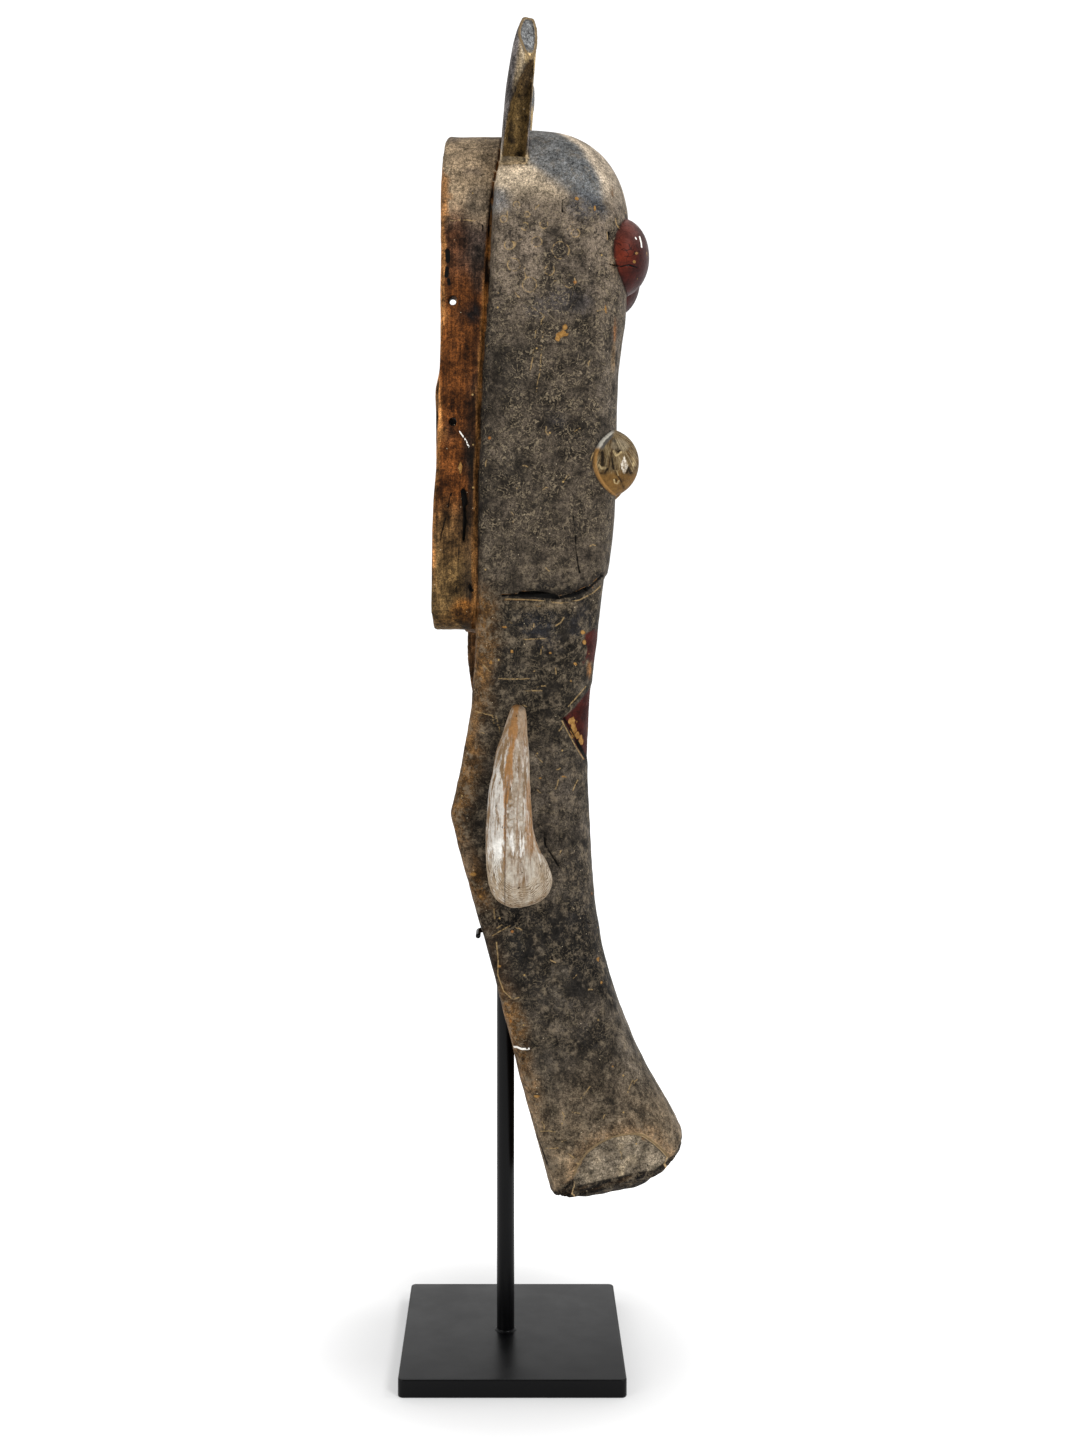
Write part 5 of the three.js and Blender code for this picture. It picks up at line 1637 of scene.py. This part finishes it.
class Guides:
    """What the mesh tells the paint, and the patterns that several layers share."""

    def __init__(self, paint):
        self.red, self.eye, self.tusk = paint.guide("owners")
        self.crack_and_shade, self.scratch_and_highlight, self.chip = paint.guide("marks")
        self.bend, self.crease, self.in_hole = paint.guide("edges")
        self.eye_dark, self.eye_light, self.diamond = paint.guide("eyes")
        self.outline, self.across, self.pale = paint.guide("extras")
        self.crust_share, self.grain_share, self.gloss = paint.guide("textures")
        self.place = paint.millimetres()
        self.mottle = paint.noise(11, 6, 0.68)
        self.fine = paint.noise(2.2, 4, 0.7, shift=3)
        self.grain = paint.noise(1.6, 4, 0.6, (1, 1, 14), 5)
        self.ragged = paint.times(paint.math("SUBTRACT", self.fine, 0.5), 2.4)
        self.paint = paint

    def frayed(self, value, reach):
        """A distance made ragged, so that what it bounds has a frayed edge."""
        return self.paint.math("MULTIPLY_ADD", self.ragged, reach, value)


def carved_wood_paint():
    """Every layer of the mask's paint, from the weathered ground to the marks on top."""
    paint = Paint("carved_wood")
    guides = Guides(paint)
    ground, crust = weathered_ground(paint, guides)
    surface = worn(paint, guides, ground)
    red_share = paint.fit(guides.frayed(guides.red, 0.5), -0.3, 0.3)
    surface = paint.mix(red_share, surface, red_lacquer(paint, guides))
    surface = paint.mix(paint.fit(guides.eye, -0.4, 0.4), surface, painted_eye(paint, guides))
    surface = paint.mix(paint.fit(guides.tusk, -0.4, 0.4), surface, worn_tusk(paint, guides))
    paint.set("Base Color", marked(paint, guides, surface))
    paint.set("Specular IOR Level", 0.08)
    dull = paint.fit(guides.mottle, 0.3, 0.7, 0.78, 0.6)
    paint.set("Roughness", paint.math("MULTIPLY_ADD", guides.gloss, -0.25, dull))
    grain = paint.times(guides.grain, guides.grain_share)
    height = paint.math("ADD", paint.times(guides.fine, 0.7), grain)
    height = paint.math("MULTIPLY_ADD", crust, 0.5, height)
    height = paint.math("MULTIPLY_ADD", guides.mottle, 1.2, height)
    paint.bump(paint.times(height, paint.fit(guides.gloss, 0, 1, 1, 0.12)), 0.6)
    return paint.material


def black_steel_paint(name, colour, roughness, specular):
    """Satin black coat with a faint orange peel and dull patches."""
    paint = Paint(name)
    peel = paint.noise(1.1, 2, 0.5)
    patches = paint.noise(38, 3, 0.6, shift=4)
    paint.set("Base Color", paint.scaled(linear(colour), paint.fit(patches, 0.3, 0.7, 0.85, 1.15)))
    paint.set("Roughness", paint.fit(patches, 0.3, 0.7, roughness - 0.04, roughness + 0.04))
    paint.set("Specular IOR Level", specular)
    paint.bump(peel, 0.02)
    return paint.material


def add_piece(name, mesh, material, slot, *nodes):
    """One piece of the object, with its paint and the solids that it stands for."""
    piece = bpy.data.objects.new(name, mesh)
    bpy.context.scene.collection.objects.link(piece)
    mesh.materials.append(material)
    mesh.shade_smooth()
    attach(piece, "root")
    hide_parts(*nodes)
    return piece


def skin_over(name, rings):
    """Closed mesh over rings of points in millimetres."""
    rings = np.asarray(rings)
    count = rings.shape[1]
    shape = bmesh.new()
    rows = [[shape.verts.new(point * MM) for point in ring] for ring in rings]
    for low, high in zip(rows, rows[1:]):
        for i in range(count):
            shape.faces.new((low[i], low[(i + 1) % count], high[(i + 1) % count], high[i]))
    shape.faces.new(rows[0][::-1])
    shape.faces.new(rows[-1])
    bmesh.ops.recalc_face_normals(shape, faces=shape.faces)
    mesh = bpy.data.meshes.new(name)
    shape.to_mesh(mesh)
    shape.free()
    return mesh


def rounded_square(half, corner, z):
    """Outline of a square plate with round corners."""
    steps = 10
    angles = [math.pi / 2 * (quarter + i / steps) for quarter in range(4) for i in range(steps + 1)]
    signs = [(1, 1), (-1, 1), (-1, -1), (1, -1)]
    centres = [signs[i // (steps + 1)] for i in range(len(angles))]
    return [(cx * (half - corner) + corner * math.cos(a), cy * (half - corner) + corner * math.sin(a), z)
            for (cx, cy), a in zip(centres, angles)]


def plate_mesh():
    """Thick steel plate with round corners and slightly softened edges."""
    low, high = (np.array(corner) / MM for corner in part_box("base_plate"))
    half, thick, corner = high[0], high[2] - low[2], PLATE_CORNER
    rings = []
    for edge_z, turn in ((low[2] + PLATE_BEVEL, -1), (high[2] - PLATE_BEVEL, 1)):
        for i in range(6)[::turn]:
            angle = math.pi / 2 * i / 5
            inset = PLATE_BEVEL * (1 - math.cos(angle))
            z = edge_z + turn * PLATE_BEVEL * math.sin(angle)
            rings.append(rounded_square(half - inset, corner - inset, z))
        if turn < 0:
            rings.append(rounded_square(half, corner, low[2] + thick / 2))
    return skin_over("base_plate_coated", rings)


def lathe_rings(outline, centre_x, count=64):
    """Level rings round an upright axis, from (radius, height) pairs."""
    angle = 2 * np.pi * np.arange(count) / count
    return [[(centre_x + r * math.cos(a), r * math.sin(a), z) for a in angle] for r, z in outline]


def rod_mesh():
    """Round steel rod with its weld at the foot and a softened top."""
    low, high = (np.array(corner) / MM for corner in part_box("rod"))
    collar = (high[0] - low[0]) / 2
    radius = collar - WELD
    centre_x = (low[0] + high[0]) / 2
    foot = low[2] - 0.2
    turns = [i / 6 * math.pi / 2 for i in range(7)]
    weld = [(collar - WELD * math.sin(a), foot + WELD * (1 - math.cos(a))) for a in turns]
    shaft = [(radius, z) for z in np.linspace(foot + 12, high[2] - 2.5, 30)]
    crown = [(radius - ROD_BEVEL * (1 - math.cos(a)), high[2] - ROD_BEVEL + ROD_BEVEL * math.sin(a))
             for a in np.linspace(0, math.pi / 2, 6)]
    return skin_over("rod_coated", lathe_rings(weld + shaft + crown, centre_x))


def sweep_rings(path, radii, count=24):
    """Round sections along a path that stays at one height."""
    path = np.asarray(path, float)
    along = np.gradient(path, axis=0)
    along /= np.linalg.norm(along, axis=1, keepdims=True)
    first = np.cross(along, (0, 0, 1))
    first /= np.linalg.norm(first, axis=1, keepdims=True)
    second = np.cross(first, along)
    angle = 2 * np.pi * np.arange(count) / count
    return [[point + r * (math.cos(a) * f + math.sin(a) * s) for a in angle]
            for point, r, f, s in zip(path, radii, first, second)]


def cradle_mesh():
    """Bar behind the rod that bends back round the hollow's edges, with round tips."""
    low, high = (np.array(corner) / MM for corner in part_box("cradle"))
    radius = (high[2] - low[2]) / 2
    tip = [(radius * (1 - math.cos(a)), radius * math.sin(a)) for a in np.linspace(0.2, math.pi / 2, 6)]
    stations = [(low[1] + rise, r) for rise, r in tip]
    stations += [(y, radius) for y in np.linspace(low[1] + 2 * radius, high[1] - 2 * radius, 60)]
    stations += [(high[1] - rise, r) for rise, r in reversed(tip)]
    y, radii = np.array(stations).T
    inward = smooth_step(CRADLE_BEND_Y, CRADLE_INNER_Y, np.abs(y))
    x = low[0] + radius + (high[0] - low[0] - 2 * radius) * inward
    path = np.stack([x, y, (low[2] + high[2]) / 2 + 0 * y], axis=-1)
    return skin_over("cradle_coated", sweep_rings(path, radii))


def add_stage():
    """Pale glowing floor, glowing less near the stand as a painted shadow, in a room that is white overhead
    and behind the object and dimmer before it.
    """
    mesh = bpy.data.meshes.new("floor")
    half = FLOOR_HALF
    corners = [(-half, -half, 0), (half, -half, 0), (half, half, 0), (-half, half, 0)]
    mesh.from_pydata(corners, [], [(0, 1, 2, 3)])
    floor = bpy.data.objects.new("floor", mesh)
    bpy.context.scene.collection.objects.link(floor)
    paint = Paint("pale_floor")
    paint.set("Base Color", (0.5, 0.5, 0.5))
    paint.set("Roughness", 0.9)
    paint.set("Specular IOR Level", 0.0)
    paint.set("Emission Color", (1.0, 1.0, 1.0))
    away = paint.nodes.new("ShaderNodeVectorMath")
    away.operation = "LENGTH"
    paint.feed(away.inputs[0], paint.place)
    # The floor's glow drops near the stand: a painted shadow round it
    glow = paint.fit(away.outputs["Value"], *FLOOR_GLOW_REACH, FLOOR_GLOW_NEAR, FLOOR_GLOW_FAR)
    paint.set("Emission Strength", glow)
    mesh.materials.append(paint.material)


def add_sky():
    """White backdrop, with a dimmer room on the viewer's side that the dark metal reflects."""
    world = bpy.data.worlds.new("studio")
    world.use_nodes = True
    nodes, links = world.node_tree.nodes, world.node_tree.links
    direction = nodes.new("ShaderNodeTexCoord").outputs["Generated"]
    split = nodes.new("ShaderNodeSeparateXYZ")
    links.new(direction, split.inputs[0])
    behind = nodes.new("ShaderNodeMapRange")
    behind.interpolation_type = "SMOOTHSTEP"
    for socket, number in zip(behind.inputs[1:5], (-0.35, 0.25, ROOM_BRIGHTNESS, BACKDROP_LIGHT)):
        socket.default_value = number
    links.new(split.outputs["Y"], behind.inputs[0])
    seen = nodes.new("ShaderNodeLightPath").outputs["Is Camera Ray"]
    strength = nodes.new("ShaderNodeMath")
    strength.operation = "MAXIMUM"
    links.new(seen, strength.inputs[0])
    links.new(behind.outputs[0], strength.inputs[1])
    background = nodes["Background"]
    background.inputs["Color"].default_value = (1, 1, 1, 1)
    links.new(strength.outputs[0], background.inputs["Strength"])
    bpy.context.scene.world = world


def add_light(name, place, target, size, power):
    """Rectangular lamp that looks at a target."""
    lamp = bpy.data.lights.new(name, "AREA")
    lamp.shape = "RECTANGLE"
    lamp.size, lamp.size_y = size
    lamp.energy = power
    holder = bpy.data.objects.new(name, lamp)
    bpy.context.scene.collection.objects.link(holder)
    holder.location = place
    holder.rotation_euler = (Vector(target) - Vector(place)).to_track_quat("-Z", "Y").to_euler()


def add_lights():
    """Seen by the camera: the main lamp at the front right, one at the right and one at the left."""
    middle = (0.02, 0, 0.55)
    add_light("key", (1.1, -1.5, 1.6), middle, (0.6, 0.8), 27)
    add_light("side", (1.4, -0.1, 1.8), middle, (0.4, 0.5), 7)
    add_light("fill", (-1.5, -1.3, 0.9), middle, (0.9, 1.2), 13)


def add_camera():
    """The photograph's viewpoint, with the focal length and shift that its frame gives."""
    data = bpy.data.cameras.new("camera")
    width, height = PHOTO_SIZE
    data.sensor_fit = "AUTO"
    data.sensor_width = SENSOR
    data.lens = FOCAL_PIXELS / height * SENSOR
    data.shift_x = (width / 2 - PRINCIPAL_PIXEL[0]) / height
    data.shift_y = (PRINCIPAL_PIXEL[1] - height / 2) / height
    camera = bpy.data.objects.new("camera", data)
    bpy.context.scene.collection.objects.link(camera)
    camera.location = [value * MM for value in CAMERA_PLACE]
    camera.rotation_euler = (math.pi / 2, 0, 0)
    bpy.context.scene.camera = camera


def main():
    """The stage and the four pieces of the object."""
    add_camera()
    add_stage()
    add_sky()
    add_lights()
    bpy.context.scene.view_settings.view_transform = "Standard"
    add_piece("carved_mask", mask_mesh(), carved_wood_paint(), "carved_wood", "mask")
    plate_paint = black_steel_paint("stand_plate", "#020203", 0.36, 0.15)
    rod_paint = black_steel_paint("stand_rod", "#020203", 0.34, 0.13)
    add_piece("plate", plate_mesh(), plate_paint, "stand_plate", "base_plate")
    add_piece("upright_rod", rod_mesh(), rod_paint, "stand_rod", "rod")
    add_piece("cradle_bar", cradle_mesh(), rod_paint, "stand_rod", "cradle")


main()
